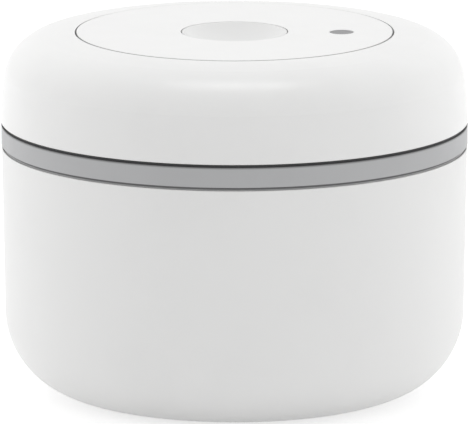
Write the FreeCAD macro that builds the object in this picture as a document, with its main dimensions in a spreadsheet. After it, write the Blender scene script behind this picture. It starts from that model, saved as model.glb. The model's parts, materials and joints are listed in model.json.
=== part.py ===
import FreeCAD
import Part
import Sketcher
import math
import os
from FreeCAD import Placement, Rotation, Vector

# Vacuum storage canister with a twist pump in its lid, as a parametric document.
# The frame stands on the canister's foot: +Z is up, the lid's indicator lies towards +X and the
# front towards -Y. Twisting the lid shell turns a gear that drives two racks, and each rack pushes
# a piston in its own barrel. Lengths are millimetres.

SIZES = {
    # Canister: a drawn steel cup
    "canister_rim_height": 63.0,
    "canister_wall": 1.0,
    "canister_taper": 1.07,
    "canister_corner_radius": 21.1,
    "canister_rim_rounding": 0.2,
    # Foot pad under the canister
    "pad_proud": 0.15,
    "pad_land_width": 3.3,
    "pad_recess_depth": 1.0,
    "pad_clearance": 0.2,
    "pad_edge_chamfer": 0.5,
    "pad_groove_radius": 26.0,
    "pad_groove_width": 2.0,
    "pad_groove_depth": 0.6,
    # Lid base: plug, floor and the grey band that sits on the canister's rim
    "band_overhang": 0.1,
    "band_height": 5.88,
    "band_chamfer": 0.15,
    "band_seat": 0.4,
    "band_seam": 0.8,
    "plug_gap": 2.2,
    "plug_wall": 2.0,
    "tub_gap": 1.1,
    "plug_depth": 19.5,
    "floor_thickness": 2.5,
    "guide_wall": 1.6,
    "guide_wall_rise": 7.0,
    # Gasket round the plug
    "gasket_groove_depth": 0.9,
    "gasket_groove_height": 6.0,
    "gasket_groove_rise": 5.0,
    "gasket_clearance": 0.3,
    "gasket_lip_height": 1.6,
    "gasket_lip_edge": 0.4,
    "gasket_back": 1.5,
    # Glide ring under the lid shell
    "glide_depth": 3.0,
    "glide_width": 2.6,
    "glide_recess": 0.4,
    "glide_clearance": 0.1,
    # Cover under the lid base, with its filter
    "cover_thickness": 1.6,
    "cover_rim": 2.0,
    "cover_inset": 0.3,
    "cover_edge_rounding": 0.6,
    "plenum_height": 2.0,
    "filter_radius": 12.0,
    "filter_ledge": 1.2,
    "filter_ledge_height": 0.6,
    "filter_thickness": 0.6,
    "filter_clearance": 0.15,
    "filter_cap_flange": 1.2,
    "filter_cap_proud": 0.8,
    "filter_cap_rounding": 0.3,
    "filter_slot_width": 1.4,
    "filter_slot_margin": 1.9,
    # Release valve in the middle of the lid
    "column_boss_margin": 0.6,
    "column_bore": 4.0,
    "valve_pocket_radius": 7.0,
    "valve_pocket_rise": 4.9,
    "stem_radius": 1.6,
    "stem_air_gap": 0.6,
    "stem_press_gap": 0.03,
    "valve_seal_radius": 5.0,
    "valve_seal_thickness": 1.2,
    "poppet_radius": 5.4,
    "poppet_thickness": 1.5,
    "spring_shoulder_rise": 6.5,
    "spring_wire": 0.6,
    "spring_side_gap": 0.4,
    "spring_end_gap": 0.45,
    # Drive gear, its washers and the racks that it meshes with
    "gear_module": 1.0,
    "gear_width": 8.0,
    "gear_backlash": 0.16,
    "gear_tip_gap": 0.25,
    "gear_bore_gap": 0.08,
    "gear_rim_thickness": 2.45,
    "key_margin": 0.2,
    "key_clearance": 0.1,
    "washer_thickness": 0.8,
    "washer_gap": 0.1,
    "washer_bore_gap": 0.2,
    "washer_width": 2.4,
    "rack_height": 6.0,
    "rack_back": 4.6,
    "rack_end_length": 1.5,
    "rail_clearance": 0.15,
    "rail_wall": 2.2,
    "rail_gear_gap": 0.8,
    "rail_end_gap": 1.0,
    # Pump barrels and pistons
    "barrel_bore": 8.5,
    "barrel_wall": 1.5,
    "barrel_floor_gap": 0.4,
    "barrel_offset": 4.0,
    "barrel_end_wall": 1.5,
    "barrel_end_gap": 0.5,
    "port_chamber": 4.6,
    "piston_length": 6.6,
    "piston_clearance": 0.3,
    "piston_seal_depth": 1.6,
    "piston_seal_width": 3.4,
    "piston_seal_gap": 0.06,
    "piston_seal_lip": 0.7,
    "piston_seal_cup": 2.0,
    "spigot_radius": 3.6,
    "spigot_wall": 1.6,
    "spigot_depth": 1.7,
    "spigot_clearance": 0.15,
    "valve_flange": 0.6,
    "valve_skin": 0.6,
    "valve_bill_height": 3.0,
    "valve_bill_gap": 0.3,
    "valve_bill_tip": 0.8,
    "valve_slit": 0.25,
    "lug_thickness": 2.5,
    "lug_half_width": 3.3,
    "lug_reach": 3.6,
    "lug_post_height": 4.0,
    # Spider that carries the lid shell
    "spider_gap": 0.8,
    "spider_thickness": 2.8,
    "spider_margin": 0.8,
    "slot_clearance": 0.7,
    "slot_end_gap": 0.8,
    # Lid shell: the white dome that is twisted
    "dome_overhang": 0.2,
    "dome_gap": 0.68,
    "dome_height": 22.63,
    "dome_side_height": 12.0,
    "dome_side_inset": 0.98,
    "dome_ring_width": 8.7,
    "dome_ring_drop": 1.0,
    "dome_wall": 2.2,
    "dome_edge_rounding": 0.35,
    "dome_opening_rounding": 0.06,
    "shell_post_gap": 0.6,
    "shell_post_radius": 3.2,
    "shell_post_sink": 1.7,
    # Top plate, which stands still on the column
    "plate_seam": 0.42,
    "plate_proud": 0.06,
    "plate_thickness": 2.2,
    "plate_skirt": 2.2,
    "plate_lip_gap": 0.6,
    "plate_lip_reach": 2.6,
    "plate_lip_thickness": 1.6,
    "plate_edge_rounding": 0.06,
    "plate_rib": 1.6,
    "well_depth": 10.9,
    "well_wall": 2.0,
    "well_floor": 2.0,
    "plate_tube_wall": 3.4,
    # Release button
    "button_radius": 13.3,
    "button_sink": 0.05,
    "button_seam": 0.25,
    "button_dish_depth": 2.7,
    "button_rim": 0.9,
    "button_thickness": 1.8,
    "button_skirt": 1.6,
    "button_skirt_depth": 5.5,
    "button_edge_rounding": 0.15,
    "button_boss_depth": 9.5,
    "button_boss_gap": 0.4,
    "button_socket_depth": 6.0,
    # Vacuum indicator
    "indicator_gap": 1.4,
    "indicator_radius": 3.0,
    "indicator_sink": 0.1,
    "indicator_seam": 0.08,
    "indicator_skin": 0.7,
    "indicator_edge_rounding": 0.2,
    "sleeve_wall": 0.9,
    "sleeve_length": 6.0,
    "sleeve_clearance": 0.05,
    "sleeve_boss_wall": 1.4,
    "housing_wall": 1.3,
    "housing_bore_gap": 0.3,
    "housing_step_rise": 9.0,
    "housing_step_thickness": 1.5,
    "indicator_post_rise": 3.0,
    "indicator_post_wall": 0.8,
    "indicator_post_lap": 1.5,
    "indicator_port": 2.4,
    "diaphragm_thickness": 0.8,
    "diaphragm_rise": 1.4,
    "diaphragm_skin": 0.5,
    "plunger_rod": 1.5,
    "plunger_rod_gap": 0.4,
    "plunger_foot_width": 0.4,
    "plunger_foot_height": 1.0,
    "plunger_head_length": 19.0,
    "indicator_wire": 0.4,
    "indicator_spring_end_gap": 0.45,
    # Screws
    "screw_radius": 1.1,
    "screw_hole_gap": 0.06,
    "screw_head_radius": 2.1,
    "screw_head_height": 1.4,
    "screw_head_gap": 0.25,
    "screw_bite": 4.5,
    "screw_tip_gap": 0.4,
    "screw_drive_flat": 0.9,
    "screw_drive_depth": 0.8,
    "screw_post_wall": 1.4,
    "cover_screw_inset": 2.0,
    "plate_screw_radius": 0.9,
    "plate_screw_head_radius": 1.6,
    "plate_screw_drive_flat": 0.7,
    "plate_screw_bite": 8.0,
    # How far a cut runs past the face that it opens
    "overrun": 1.0,
}

# Counts, angles in degrees and shares, which no length sets
GEAR_TEETH = 24
RACK_TEETH = 10
PRESSURE_ANGLE = 20.0
TWIST_EACH_WAY = 45.0
COVER_SCREWS = 6
SHELL_POSTS = 4
SHELL_POST_ANGLE = 45.0
PLATE_SCREWS = 3
PLATE_RIBS = 6
PLATE_RIB_ANGLE = 30.0
FILTER_SLOTS = 7
FILTER_SLOT_SHARE = 0.84
RELEASE_SPRING_TURNS = 9
INDICATOR_SPRING_TURNS = 8
QUARTERS = 4
FLANK_POINTS = 6
HALF_TURN = 180.0
FULL_TURN = 360.0


class Size:
    """A number together with the sheet expression that gives it."""

    def __init__(self, value, text):
        self.value = float(value)
        self.text = text

    def joined(self, sign, other, value):
        return Size(value, f"({self.text} {sign} {other.text})")

    def __add__(self, other):
        other = as_size(other)
        return self.joined("+", other, self.value + other.value)

    def __sub__(self, other):
        other = as_size(other)
        return self.joined("-", other, self.value - other.value)

    def __rsub__(self, other):
        return as_size(other) - self

    def __mul__(self, other):
        other = as_size(other)
        return self.joined("*", other, self.value * other.value)

    def __truediv__(self, other):
        other = as_size(other)
        return self.joined("/", other, self.value / other.value)

    def __neg__(self):
        return Size(-self.value, f"(0 - {self.text})")

    __radd__ = __add__
    __rmul__ = __mul__


def as_size(thing):
    """A Size as it is, or a plain count, share or zero as a Size."""
    return thing if isinstance(thing, Size) else Size(thing, repr(thing))


def root_of(thing):
    """The square root of a Size."""
    return Size(math.sqrt(thing.value), f"sqrt({thing.text})")


class Named:
    """The sheet's sizes, each under its own name."""


doc = FreeCAD.newDocument("VacuumCanister")
sheet = doc.addObject("Spreadsheet::Sheet", "Sizes")
at = Named()
for row, (alias, number) in enumerate(SIZES.items(), start=1):
    sheet.set(f"A{row}", alias)
    sheet.set(f"B{row}", str(number))
    sheet.setAlias(f"B{row}", alias)
    setattr(at, alias, Size(number, f"Sizes.{alias}"))
doc.recompute()


def shared(alias, size):
    """Keeps a worked-out size in the sheet, as a formula on the driving ones."""
    line = len(vars(at)) + 1
    sheet.set(f"A{line}", alias)
    sheet.set(f"B{line}", "=" + size.text.replace("Sizes.", ""))
    sheet.setAlias(f"B{line}", alias)
    kept = Size(size.value, f"Sizes.{alias}")
    setattr(at, alias, kept)
    return kept


# Heights of the lid's base
rim = at.canister_rim_height
band_top = shared("band_top", rim + at.band_height)
cover_bottom = shared("cover_bottom", rim - at.plug_depth)
cover_top = shared("cover_top", cover_bottom + at.cover_thickness)
floor_bottom = shared("floor_bottom", cover_top + at.plenum_height)
floor_top = shared("floor_top", floor_bottom + at.floor_thickness)
gasket_low = shared("gasket_low", floor_bottom + at.gasket_groove_rise)
gasket_high = shared("gasket_high", gasket_low + at.gasket_groove_height)
filter_ledge_low = shared("filter_ledge_low", cover_top - at.filter_ledge_height)

# Gear, racks and pumps
barrel_radius = shared("barrel_radius", at.barrel_bore + at.barrel_wall)
gear_middle = shared("gear_middle", floor_top + at.barrel_floor_gap + barrel_radius)
gear_bottom = shared("gear_bottom", gear_middle - at.gear_width / 2)
gear_top = shared("gear_top", gear_middle + at.gear_width / 2)
boss_top = shared("boss_top", gear_bottom - at.washer_gap - at.washer_thickness)
pitch_radius = shared("pitch_radius", at.gear_module * GEAR_TEETH / 2)
gear_tip = shared("gear_tip", pitch_radius + at.gear_module)
gear_root = shared("gear_root", pitch_radius - at.gear_module - at.gear_tip_gap)
hub_bore = shared("hub_bore", gear_root - at.gear_rim_thickness)
key_flat = shared("key_flat", pitch_radius * math.cos(math.pi / 6) - at.key_margin)
rack_tip = shared("rack_tip", pitch_radius - at.gear_module)
rack_root = shared("rack_root", pitch_radius + at.gear_module + at.gear_tip_gap)
rack_rear = shared("rack_rear", rack_root + at.rack_back)
rail_outer = shared("rail_outer", rack_rear + at.rail_clearance + at.rail_wall)
rack_low = shared("rack_low", gear_middle - at.rack_height / 2)
rack_high = shared("rack_high", gear_middle + at.rack_height / 2)
rack_pitch = shared("rack_pitch", at.gear_module * math.pi)
rack_run = shared("rack_run", rack_pitch * RACK_TEETH / 2 + at.rack_end_length)
stroke_half = shared("stroke_half", pitch_radius * math.radians(TWIST_EACH_WAY))
barrel_axis = shared("barrel_axis", pitch_radius + at.barrel_offset)
barrel_mouth = gear_tip
piston_rear = shared("piston_rear", barrel_mouth + at.barrel_end_gap + stroke_half)
piston_front = shared("piston_front", piston_rear + at.piston_length)
piston_radius = shared("piston_radius", at.barrel_bore - at.piston_clearance)
piston_core = shared("piston_core", piston_radius - at.piston_seal_depth)
seal_rear = shared("seal_rear", piston_rear + (at.piston_length - at.piston_seal_width) / 2)
seal_front = shared("seal_front", seal_rear + at.piston_seal_width)
barrel_end = shared("barrel_end", piston_front + stroke_half + at.barrel_end_gap + at.port_chamber)
barrel_reach = shared("barrel_reach", barrel_end + at.barrel_end_wall)
barrel_side = shared("barrel_side", barrel_axis + barrel_radius)
port_y = shared("port_y", barrel_end - at.port_chamber / 2)
spigot_bore = shared("spigot_bore", at.spigot_radius - at.spigot_wall)
spigot_seat = shared("spigot_seat", floor_top - at.spigot_depth)
spigot_low = shared("spigot_low", spigot_seat + at.valve_flange)
lug_bottom = shared("lug_bottom", floor_top + at.lug_post_height)
lug_top = shared("lug_top", lug_bottom + at.lug_thickness)
lug_outer = shared("lug_outer", barrel_side + at.lug_reach)
lug_inner = shared("lug_inner", barrel_axis - barrel_radius - at.lug_reach)

# Screws
screw_hole = shared("screw_hole", at.screw_radius + at.screw_hole_gap)
screw_post = shared("screw_post", screw_hole + at.screw_post_wall)
head_recess = shared("head_recess", at.screw_head_radius + at.screw_head_gap)
plate_screw_hole = shared("plate_screw_hole", at.plate_screw_radius + at.screw_hole_gap)

# Tub, plug and canister, which close round the pumps
barrel_corner = shared("barrel_corner", root_of(barrel_side * barrel_side + barrel_reach * barrel_reach))
tub_radius = shared("tub_radius", barrel_corner + at.tub_gap)
plug_radius = shared("plug_radius", tub_radius + at.plug_wall)
canister_bore = shared("canister_bore", plug_radius + at.plug_gap)
rim_radius = shared("rim_radius", canister_bore + at.canister_wall)
foot_radius = shared("foot_radius", rim_radius - at.canister_taper)
pad_recess = shared("pad_recess", foot_radius - at.canister_corner_radius - at.pad_land_width)
band_radius = shared("band_radius", rim_radius + at.band_overhang)
gasket_inner = shared("gasket_inner", plug_radius - at.gasket_groove_depth)
cover_screw_circle = shared("cover_screw_circle", tub_radius - screw_post - at.cover_screw_inset)
cover_head_seat = shared("cover_head_seat", cover_bottom + at.screw_head_height + at.screw_head_gap)

# Release valve and its column
column_radius = shared("column_radius", hub_bore - at.gear_bore_gap)
washer_bore = shared("washer_bore", column_radius + at.washer_bore_gap)
washer_radius = shared("washer_radius", washer_bore + at.washer_width)
column_boss = shared("column_boss", washer_radius + at.column_boss_margin)
valve_seat = shared("valve_seat", floor_bottom + at.valve_pocket_rise)
seal_bottom = shared("seal_bottom", valve_seat - at.valve_seal_thickness)
stem_hole = shared("stem_hole", at.stem_radius + at.stem_air_gap)
stem_socket = shared("stem_socket", at.stem_radius + at.stem_press_gap)
spring_shoulder = shared("spring_shoulder", valve_seat + at.spring_shoulder_rise)
spider_bottom = shared("spider_bottom", gear_middle + barrel_radius + at.spider_gap)
spider_top = shared("spider_top", spider_bottom + at.spider_thickness)
shell_head_seat = shared("shell_head_seat", spider_bottom + at.screw_head_height)
hub_top = shared("hub_top", spider_top + at.washer_gap)
column_top = shared("column_top", hub_top + at.washer_gap + at.washer_thickness)
plate_screw_circle = shared("plate_screw_circle", (column_radius + at.column_bore) / 2)

# Lid shell: a bowed side, a round shoulder and a crowned ring round the top plate
side_up = at.dome_side_height
side_in = at.dome_side_inset
ring_width = at.dome_ring_width
ring_drop = at.dome_ring_drop
dome_radius = shared("dome_radius", rim_radius + at.dome_overhang)
dome_bottom = shared("dome_bottom", band_top + at.dome_gap)
lid_top = shared("lid_top", dome_bottom + at.dome_height)
side_radius = shared("side_radius", (side_up * side_up + side_in * side_in) / (side_in * 2))
side_sine = shared("side_sine", side_up / side_radius)
side_cosine = shared("side_cosine", (side_radius - side_in) / side_radius)
crown = shared("crown", (ring_width * ring_width + ring_drop * ring_drop) / (ring_drop * 2))
crown_sine = shared("crown_sine", ring_width / crown)
crown_cosine = shared("crown_cosine", (crown - ring_drop) / crown)
shoulder = shared("shoulder", (at.dome_height - side_up - ring_drop) / (crown_cosine - side_sine))
crown_edge = shared("crown_edge", dome_radius - side_in - shoulder * (side_cosine - crown_sine))
dome_opening = shared("dome_opening", crown_edge - ring_width)

# Top plate, the posts outside its lip, and the button
plate_radius = shared("plate_radius", dome_opening - at.plate_seam)
lip_radius = shared("lip_radius", plate_radius + at.plate_lip_reach)
shell_post_circle = shared("shell_post_circle", lip_radius + at.shell_post_gap + at.shell_post_radius)
spider_radius = shared("spider_radius", shell_post_circle + at.shell_post_radius + at.spider_margin)
glide_inner = shared("glide_inner", tub_radius + at.guide_wall + at.glide_clearance)
glide_outer = shared("glide_outer", glide_inner + at.glide_width)
glide_top = shared("glide_top", dome_bottom - at.glide_clearance)
glide_seat = shared("glide_seat", band_top - at.glide_depth)
plate_top = shared("plate_top", lid_top + at.plate_proud)
plate_bottom = shared("plate_bottom", plate_top - at.plate_thickness)
lip_top = shared("lip_top", lid_top - at.dome_wall - at.plate_lip_gap)
lip_bottom = shared("lip_bottom", lip_top - at.plate_lip_thickness)
well_radius = shared("well_radius", at.button_radius + at.button_seam)
well_outer = shared("well_outer", well_radius + at.well_wall)
well_bottom = shared("well_bottom", plate_top - at.well_depth)
tube_radius = shared("tube_radius", column_radius + at.plate_tube_wall)
button_top = shared("button_top", plate_top - at.button_sink)
button_roof = shared("button_roof", button_top - at.button_dish_depth - at.button_thickness)
button_foot = shared("button_foot", button_roof - at.button_boss_depth)

# Vacuum indicator
indicator_hole = shared("indicator_hole", at.indicator_radius + at.indicator_seam)
sleeve_radius = shared("sleeve_radius", indicator_hole + at.sleeve_wall)
sleeve_top = shared("sleeve_top", plate_top - at.indicator_skin)
sleeve_bottom = shared("sleeve_bottom", sleeve_top - at.sleeve_length)
housing_bore = shared("housing_bore", at.indicator_radius + at.housing_bore_gap)
housing_radius = shared("housing_radius", housing_bore + at.housing_wall)
diaphragm_low = shared("diaphragm_low", floor_top + at.indicator_post_rise)
housing_bottom = shared("housing_bottom", diaphragm_low + at.diaphragm_thickness)
housing_step = shared("housing_step", housing_bottom + at.housing_step_rise)
plunger_foot = shared("plunger_foot", housing_bottom + at.diaphragm_rise)
plunger_top = shared("plunger_top", plate_top - at.indicator_sink)
plunger_shoulder = shared("plunger_shoulder", plunger_top - at.plunger_head_length)
indicator_post = shared("indicator_post", housing_radius + at.indicator_post_wall)
indicator_reach = shared("indicator_reach", rail_outer + at.indicator_gap + indicator_post)
doc.recompute()


def new_body(label):
    """An empty body whose label names its file."""
    body = doc.addObject("PartDesign::Body", label)
    body.Label = label
    return body


def origin_part(body, role):
    """One of the body's own origin planes or axes."""
    return next(part for part in body.Origin.OriginFeatures if part.Role == role)


def new_sketch(body, name, role="XY_Plane", height=None, turn=0.0):
    """A sketch on one of the body's planes, lifted by height and turned about the plane's normal."""
    sketch = body.newObject("Sketcher::SketchObject", f"{body.Name}_{name}")
    sketch.AttachmentSupport = [(origin_part(body, role), "")]
    sketch.MapMode = "FlatFace"
    lift = as_size(0 if height is None else height)
    sketch.AttachmentOffset = Placement(Vector(0, 0, lift.value), Rotation(Vector(0, 0, 1), turn))
    if height is not None:
        sketch.setExpression(".AttachmentOffset.Base.z", lift.text)
    return sketch


def bind(sketch, kind, *where):
    """Adds a constraint whose last argument is a Size, and ties it to the sheet."""
    *places, size = where
    index = sketch.addConstraint(Sketcher.Constraint(kind, *places, size.value))
    sketch.setExpression(f"Constraints[{index}]", size.text)


def pin_point(sketch, geometry, end, x, y):
    """Holds a point of the sketch at x, y."""
    for kind, axis, size in (("DistanceX", -2, as_size(x)), ("DistanceY", -1, as_size(y))):
        if size.value == 0:
            sketch.addConstraint(Sketcher.Constraint("PointOnObject", geometry, end, axis))
        else:
            bind(sketch, kind, -1, 1, geometry, end, size)


def arc_between(start, finish, radius):
    """The arc under a half circle from start to finish: it turns left if radius is positive."""
    chord = finish - start
    across = Vector(-chord.y, chord.x, 0)
    across.normalize()
    reach = math.sqrt(max(radius * radius - chord.Length ** 2 / 4, 0))
    centre = (start + finish) * 0.5 + across * math.copysign(reach, radius)
    first, last = (start, finish) if radius > 0 else (finish, start)
    begin = math.atan2(first.y - centre.y, first.x - centre.x)
    end = math.atan2(last.y - centre.y, last.x - centre.x)
    while end < begin:
        end += 2 * math.pi
    return Part.ArcOfCircle(Part.Circle(centre, Vector(0, 0, 1), abs(radius)), begin, end)


def draw_outline(sketch, corners):
    """Draws a closed outline. A corner is (x, y), or (x, y, radius) where an arc runs to the next."""
    points = [Vector(as_size(corner[0]).value, as_size(corner[1]).value, 0) for corner in corners]
    ends = []
    for index, corner in enumerate(corners):
        start = points[index]
        finish = points[(index + 1) % len(points)]
        if len(corner) == 2:
            edge = sketch.addGeometry(Part.LineSegment(start, finish))
            ends.append((edge, 1, 2))
            continue
        edge = sketch.addGeometry(arc_between(start, finish, corner[2].value))
        ends.append((edge, 1, 2) if corner[2].value > 0 else (edge, 2, 1))
    for index, corner in enumerate(corners):
        edge, first, last = ends[index]
        following, following_first, _ = ends[(index + 1) % len(ends)]
        sketch.addConstraint(
            Sketcher.Constraint("Coincident", edge, last, following, following_first))
        pin_point(sketch, edge, first, corner[0], corner[1])
        if len(corner) == 3:
            bind(sketch, "Radius", edge, corner[2] if corner[2].value > 0 else -corner[2])
    return sketch


def draw_circles(sketch, circles):
    """Draws circles given as (x, y, radius)."""
    for x, y, radius in circles:
        centre = Vector(as_size(x).value, as_size(y).value, 0)
        edge = sketch.addGeometry(Part.Circle(centre, Vector(0, 0, 1), radius.value))
        pin_point(sketch, edge, 3, x, y)
        bind(sketch, "Radius", edge, radius)
    return sketch


def rectangle(low_x, high_x, low_y, high_y):
    """The corners of a rectangle."""
    return [(low_x, low_y), (high_x, low_y), (high_x, high_y), (low_x, high_y)]


def hexagon(x, y, flat):
    """The corners of a hexagon whose flats lie that far from its middle."""
    reach = flat / math.cos(math.pi / 6)
    shares = [(math.cos(step * math.pi / 3), math.sin(step * math.pi / 3)) for step in range(6)]
    return [(x + reach * round(along, 9), y + reach * round(up, 9)) for along, up in shares]


def opposite(places):
    """The places, and the same places half a turn round the lid's axis."""
    return places + [(-place[0], -place[1], *place[2:]) for place in places]


def both_sides(low_x, high_x, low_y, high_y):
    """A rectangle's corners, and those of the rectangle half a turn round the lid's axis."""
    return [rectangle(low_x, high_x, low_y, high_y), rectangle(-high_x, -low_x, -high_y, -low_y)]


def turned(body, name, corners):
    """Revolves an outline of (radius, height) about the body's Z axis."""
    sketch = draw_outline(new_sketch(body, f"{name}_outline", "XZ_Plane"), corners)
    feature = body.newObject("PartDesign::Revolution", f"{body.Name}_{name}")
    feature.Profile = sketch
    feature.ReferenceAxis = (sketch, ["V_Axis"])
    feature.Angle = FULL_TURN
    doc.recompute()
    return feature


def extruded(body, name, sketch, length, kind):
    """Pads or pockets a sketch by a length. A pocket has to take something away."""
    before = body.Shape.Volume if kind == "Pocket" else None
    feature = body.newObject(f"PartDesign::{kind}", f"{body.Name}_{name}")
    feature.Profile = sketch
    feature.Type = 0
    feature.setExpression("Length", length.text)
    doc.recompute()
    if before is not None and body.Shape.Volume >= before:
        raise RuntimeError(f"{feature.Name} cut nothing")
    return feature


def posts(body, name, circles, low, high, turn=0.0):
    """Round posts from one height up to another. A circle inside another makes a tube."""
    sketch = draw_circles(new_sketch(body, f"{name}_circles", height=low, turn=turn), circles)
    return extruded(body, name, sketch, high - low, "Pad")


def holes(body, name, circles, low, high, turn=0.0):
    """Round holes from one height down to a lower one."""
    sketch = draw_circles(new_sketch(body, f"{name}_circles", height=high, turn=turn), circles)
    return extruded(body, name, sketch, high - low, "Pocket")


def blocks(body, name, outlines, low, high, turn=0.0):
    """Straight-sided blocks from one height up to another."""
    sketch = new_sketch(body, f"{name}_outlines", height=low, turn=turn)
    for corners in outlines:
        draw_outline(sketch, corners)
    return extruded(body, name, sketch, high - low, "Pad")


def recesses(body, name, outlines, low, high):
    """Straight-sided recesses from one height down to a lower one."""
    sketch = new_sketch(body, f"{name}_outlines", height=high)
    for corners in outlines:
        draw_outline(sketch, corners)
    return extruded(body, name, sketch, high - low, "Pocket")


def along_barrel(body, name, radii, rear, front):
    """Round pieces on the pump's axis from one depth along +Y to another."""
    sketch = new_sketch(body, f"{name}_circles", "XZ_Plane", height=-front)
    draw_circles(sketch, [(barrel_axis, gear_middle, radius) for radius in radii])
    return extruded(body, name, sketch, front - rear, "Pad")


def bored_barrel(body, name, radii, rear, front):
    """Cuts on the pump's axis from one depth along +Y to another."""
    sketch = new_sketch(body, f"{name}_circles", "XZ_Plane", height=-rear)
    draw_circles(sketch, [(barrel_axis, gear_middle, radius) for radius in radii])
    return extruded(body, name, sketch, front - rear, "Pocket")


def repeated(body, name, features, count):
    """Repeats features evenly round the body's Z axis."""
    pattern = body.newObject("PartDesign::PolarPattern", f"{body.Name}_{name}")
    pattern.Originals = features
    pattern.Axis = (origin_part(body, "Z_Axis"), [""])
    pattern.Angle = FULL_TURN
    pattern.Occurrences = count
    body.Tip = pattern
    doc.recompute()
    return pattern


def ring_edges(body, radius, height):
    """Names of the body's round edges about its Z axis at that radius and height."""
    near = 1e-4
    found = []
    for index, edge in enumerate(body.Shape.Edges, start=1):
        curve = None if edge.Degenerated else edge.Curve
        if not isinstance(curve, Part.Circle) or abs(curve.Radius - radius.value) > near:
            continue
        off_axis = math.hypot(curve.Center.x, curve.Center.y)
        if off_axis < near and abs(curve.Center.z - height.value) < near:
            found.append(f"Edge{index}")
    if not found:
        raise RuntimeError(f"{body.Name}: no edge at radius {radius.value}, height {height.value}")
    return found


def rounded(body, name, rings, radius):
    """Rounds the ring edges at each (radius, height)."""
    names = [edge for ring, height in rings for edge in ring_edges(body, ring, height)]
    base = body.Tip
    feature = body.newObject("PartDesign::Fillet", f"{body.Name}_{name}")
    feature.Base = (base, names)
    feature.setExpression("Radius", radius.text)
    doc.recompute()
    return feature


def half_turned(body, turn):
    """Turns a body about the lid's axis."""
    body.Placement = Placement(Vector(0, 0, 0), Rotation(Vector(0, 0, 1), turn))
    return body


def plain_feature(label, shape):
    """A sub-part whose shape is worked out here from the sheet's sizes."""
    feature = doc.addObject("Part::Feature", label)
    feature.Label = label
    feature.Shape = shape
    feature.Placement = Placement()
    return feature


# Canister


def make_canister():
    """A thin cup with a leaning wall and a foot that is pressed in for its pad."""
    body = new_body("canister_body")
    base = at.pad_proud
    inner_base = base + at.canister_wall
    crown = base + at.pad_recess_depth
    inner_crown = crown + at.canister_wall
    inner_foot = foot_radius - at.canister_wall
    turned(body, "cup", [
        (0, crown), (pad_recess, crown), (pad_recess, base), (foot_radius, base),
        (rim_radius, rim), (canister_bore, rim), (inner_foot, inner_base),
        (pad_recess + at.canister_wall, inner_base), (pad_recess - at.canister_wall, inner_crown),
        (0, inner_crown),
    ])
    rounded(body, "corner", [(foot_radius, base)], at.canister_corner_radius)
    rounded(body, "inner_corner", [(inner_foot, inner_base)], at.canister_corner_radius - at.canister_wall)
    rounded(body, "rim", [(rim_radius, rim), (canister_bore, rim)], at.canister_rim_rounding)
    return body


def make_base_pad():
    """A soft disc in the foot, with one groove under it."""
    body = new_body("base_pad")
    radius = pad_recess - at.pad_clearance
    top = at.pad_proud + at.pad_recess_depth
    groove_in = at.pad_groove_radius - at.pad_groove_width / 2
    groove_out = at.pad_groove_radius + at.pad_groove_width / 2
    turned(body, "disc", [
        (0, 0), (groove_in, 0), (groove_in, at.pad_groove_depth), (groove_out, at.pad_groove_depth),
        (groove_out, 0), (radius - at.pad_edge_chamfer, 0), (radius, at.pad_edge_chamfer),
        (radius, top), (0, top),
    ])
    return body


# Lid base and what seals and covers it


def make_lid_base():
    """The stationary tub of the lid, whose grey band shows between canister and dome."""
    body = new_body("lid_base")
    wall_top = rim + at.guide_wall_rise
    wall_outer = tub_radius + at.guide_wall
    glide_side = glide_outer + at.glide_clearance
    band_seat_edge = canister_bore + at.band_seat
    band_low = rim + at.band_seam
    turned(body, "tub", [
        (stem_hole, valve_seat), (at.valve_pocket_radius, valve_seat),
        (at.valve_pocket_radius, floor_bottom), (plug_radius, floor_bottom),
        (plug_radius, gasket_low), (gasket_inner, gasket_low),
        (gasket_inner, gasket_high), (plug_radius, gasket_high), (plug_radius, rim),
        (band_seat_edge, rim), (band_seat_edge, band_low), (band_radius - at.band_chamfer, band_low),
        (band_radius, band_low + at.band_chamfer),
        (band_radius, band_top), (glide_side, band_top), (glide_side, glide_seat),
        (wall_outer, glide_seat), (wall_outer, wall_top), (tub_radius, wall_top),
        (tub_radius, floor_top), (column_boss, floor_top), (column_boss, boss_top),
        (column_radius, boss_top), (column_radius, column_top), (at.column_bore, column_top),
        (at.column_bore, spring_shoulder), (stem_hole, spring_shoulder),
    ])
    add_rack_rails(body)
    add_floor_posts(body)
    cut_pilot_holes(body)
    cut_air_ports(body)
    return body


def add_rack_rails(body):
    """A ledge and a back wall along each rack's run."""
    ledge_top = rack_low - at.rail_clearance
    inner = gear_tip + at.rail_gear_gap
    back = rack_rear + at.rail_clearance
    front = barrel_mouth - at.rail_end_gap
    rear = -(rack_run + stroke_half)
    blocks(body, "ledges", both_sides(inner, rail_outer, rear, front), floor_top, ledge_top)
    blocks(body, "rail_walls", both_sides(back, rail_outer, rear, front), ledge_top, rack_high)


def add_floor_posts(body):
    """Posts on the floor for the barrels' screws, the cover's screws and the indicator."""
    lugs = opposite([(lug_outer, piston_front, screw_post), (lug_inner, piston_front, screw_post)])
    posts(body, "lug_posts", lugs, floor_top, lug_bottom)
    cover_post = posts(
        body, "cover_post", [(0, cover_screw_circle, screw_post)], floor_top, floor_top + at.screw_bite)
    repeated(body, "cover_posts", [cover_post], COVER_SCREWS)
    post_top = housing_bottom + at.indicator_post_lap
    posts(body, "indicator_post", [(indicator_reach, 0, indicator_post)], floor_top, post_top)
    seat_radius = housing_radius + at.sleeve_clearance
    holes(body, "indicator_seat", [(indicator_reach, 0, seat_radius)], diaphragm_low, post_top)


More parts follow.
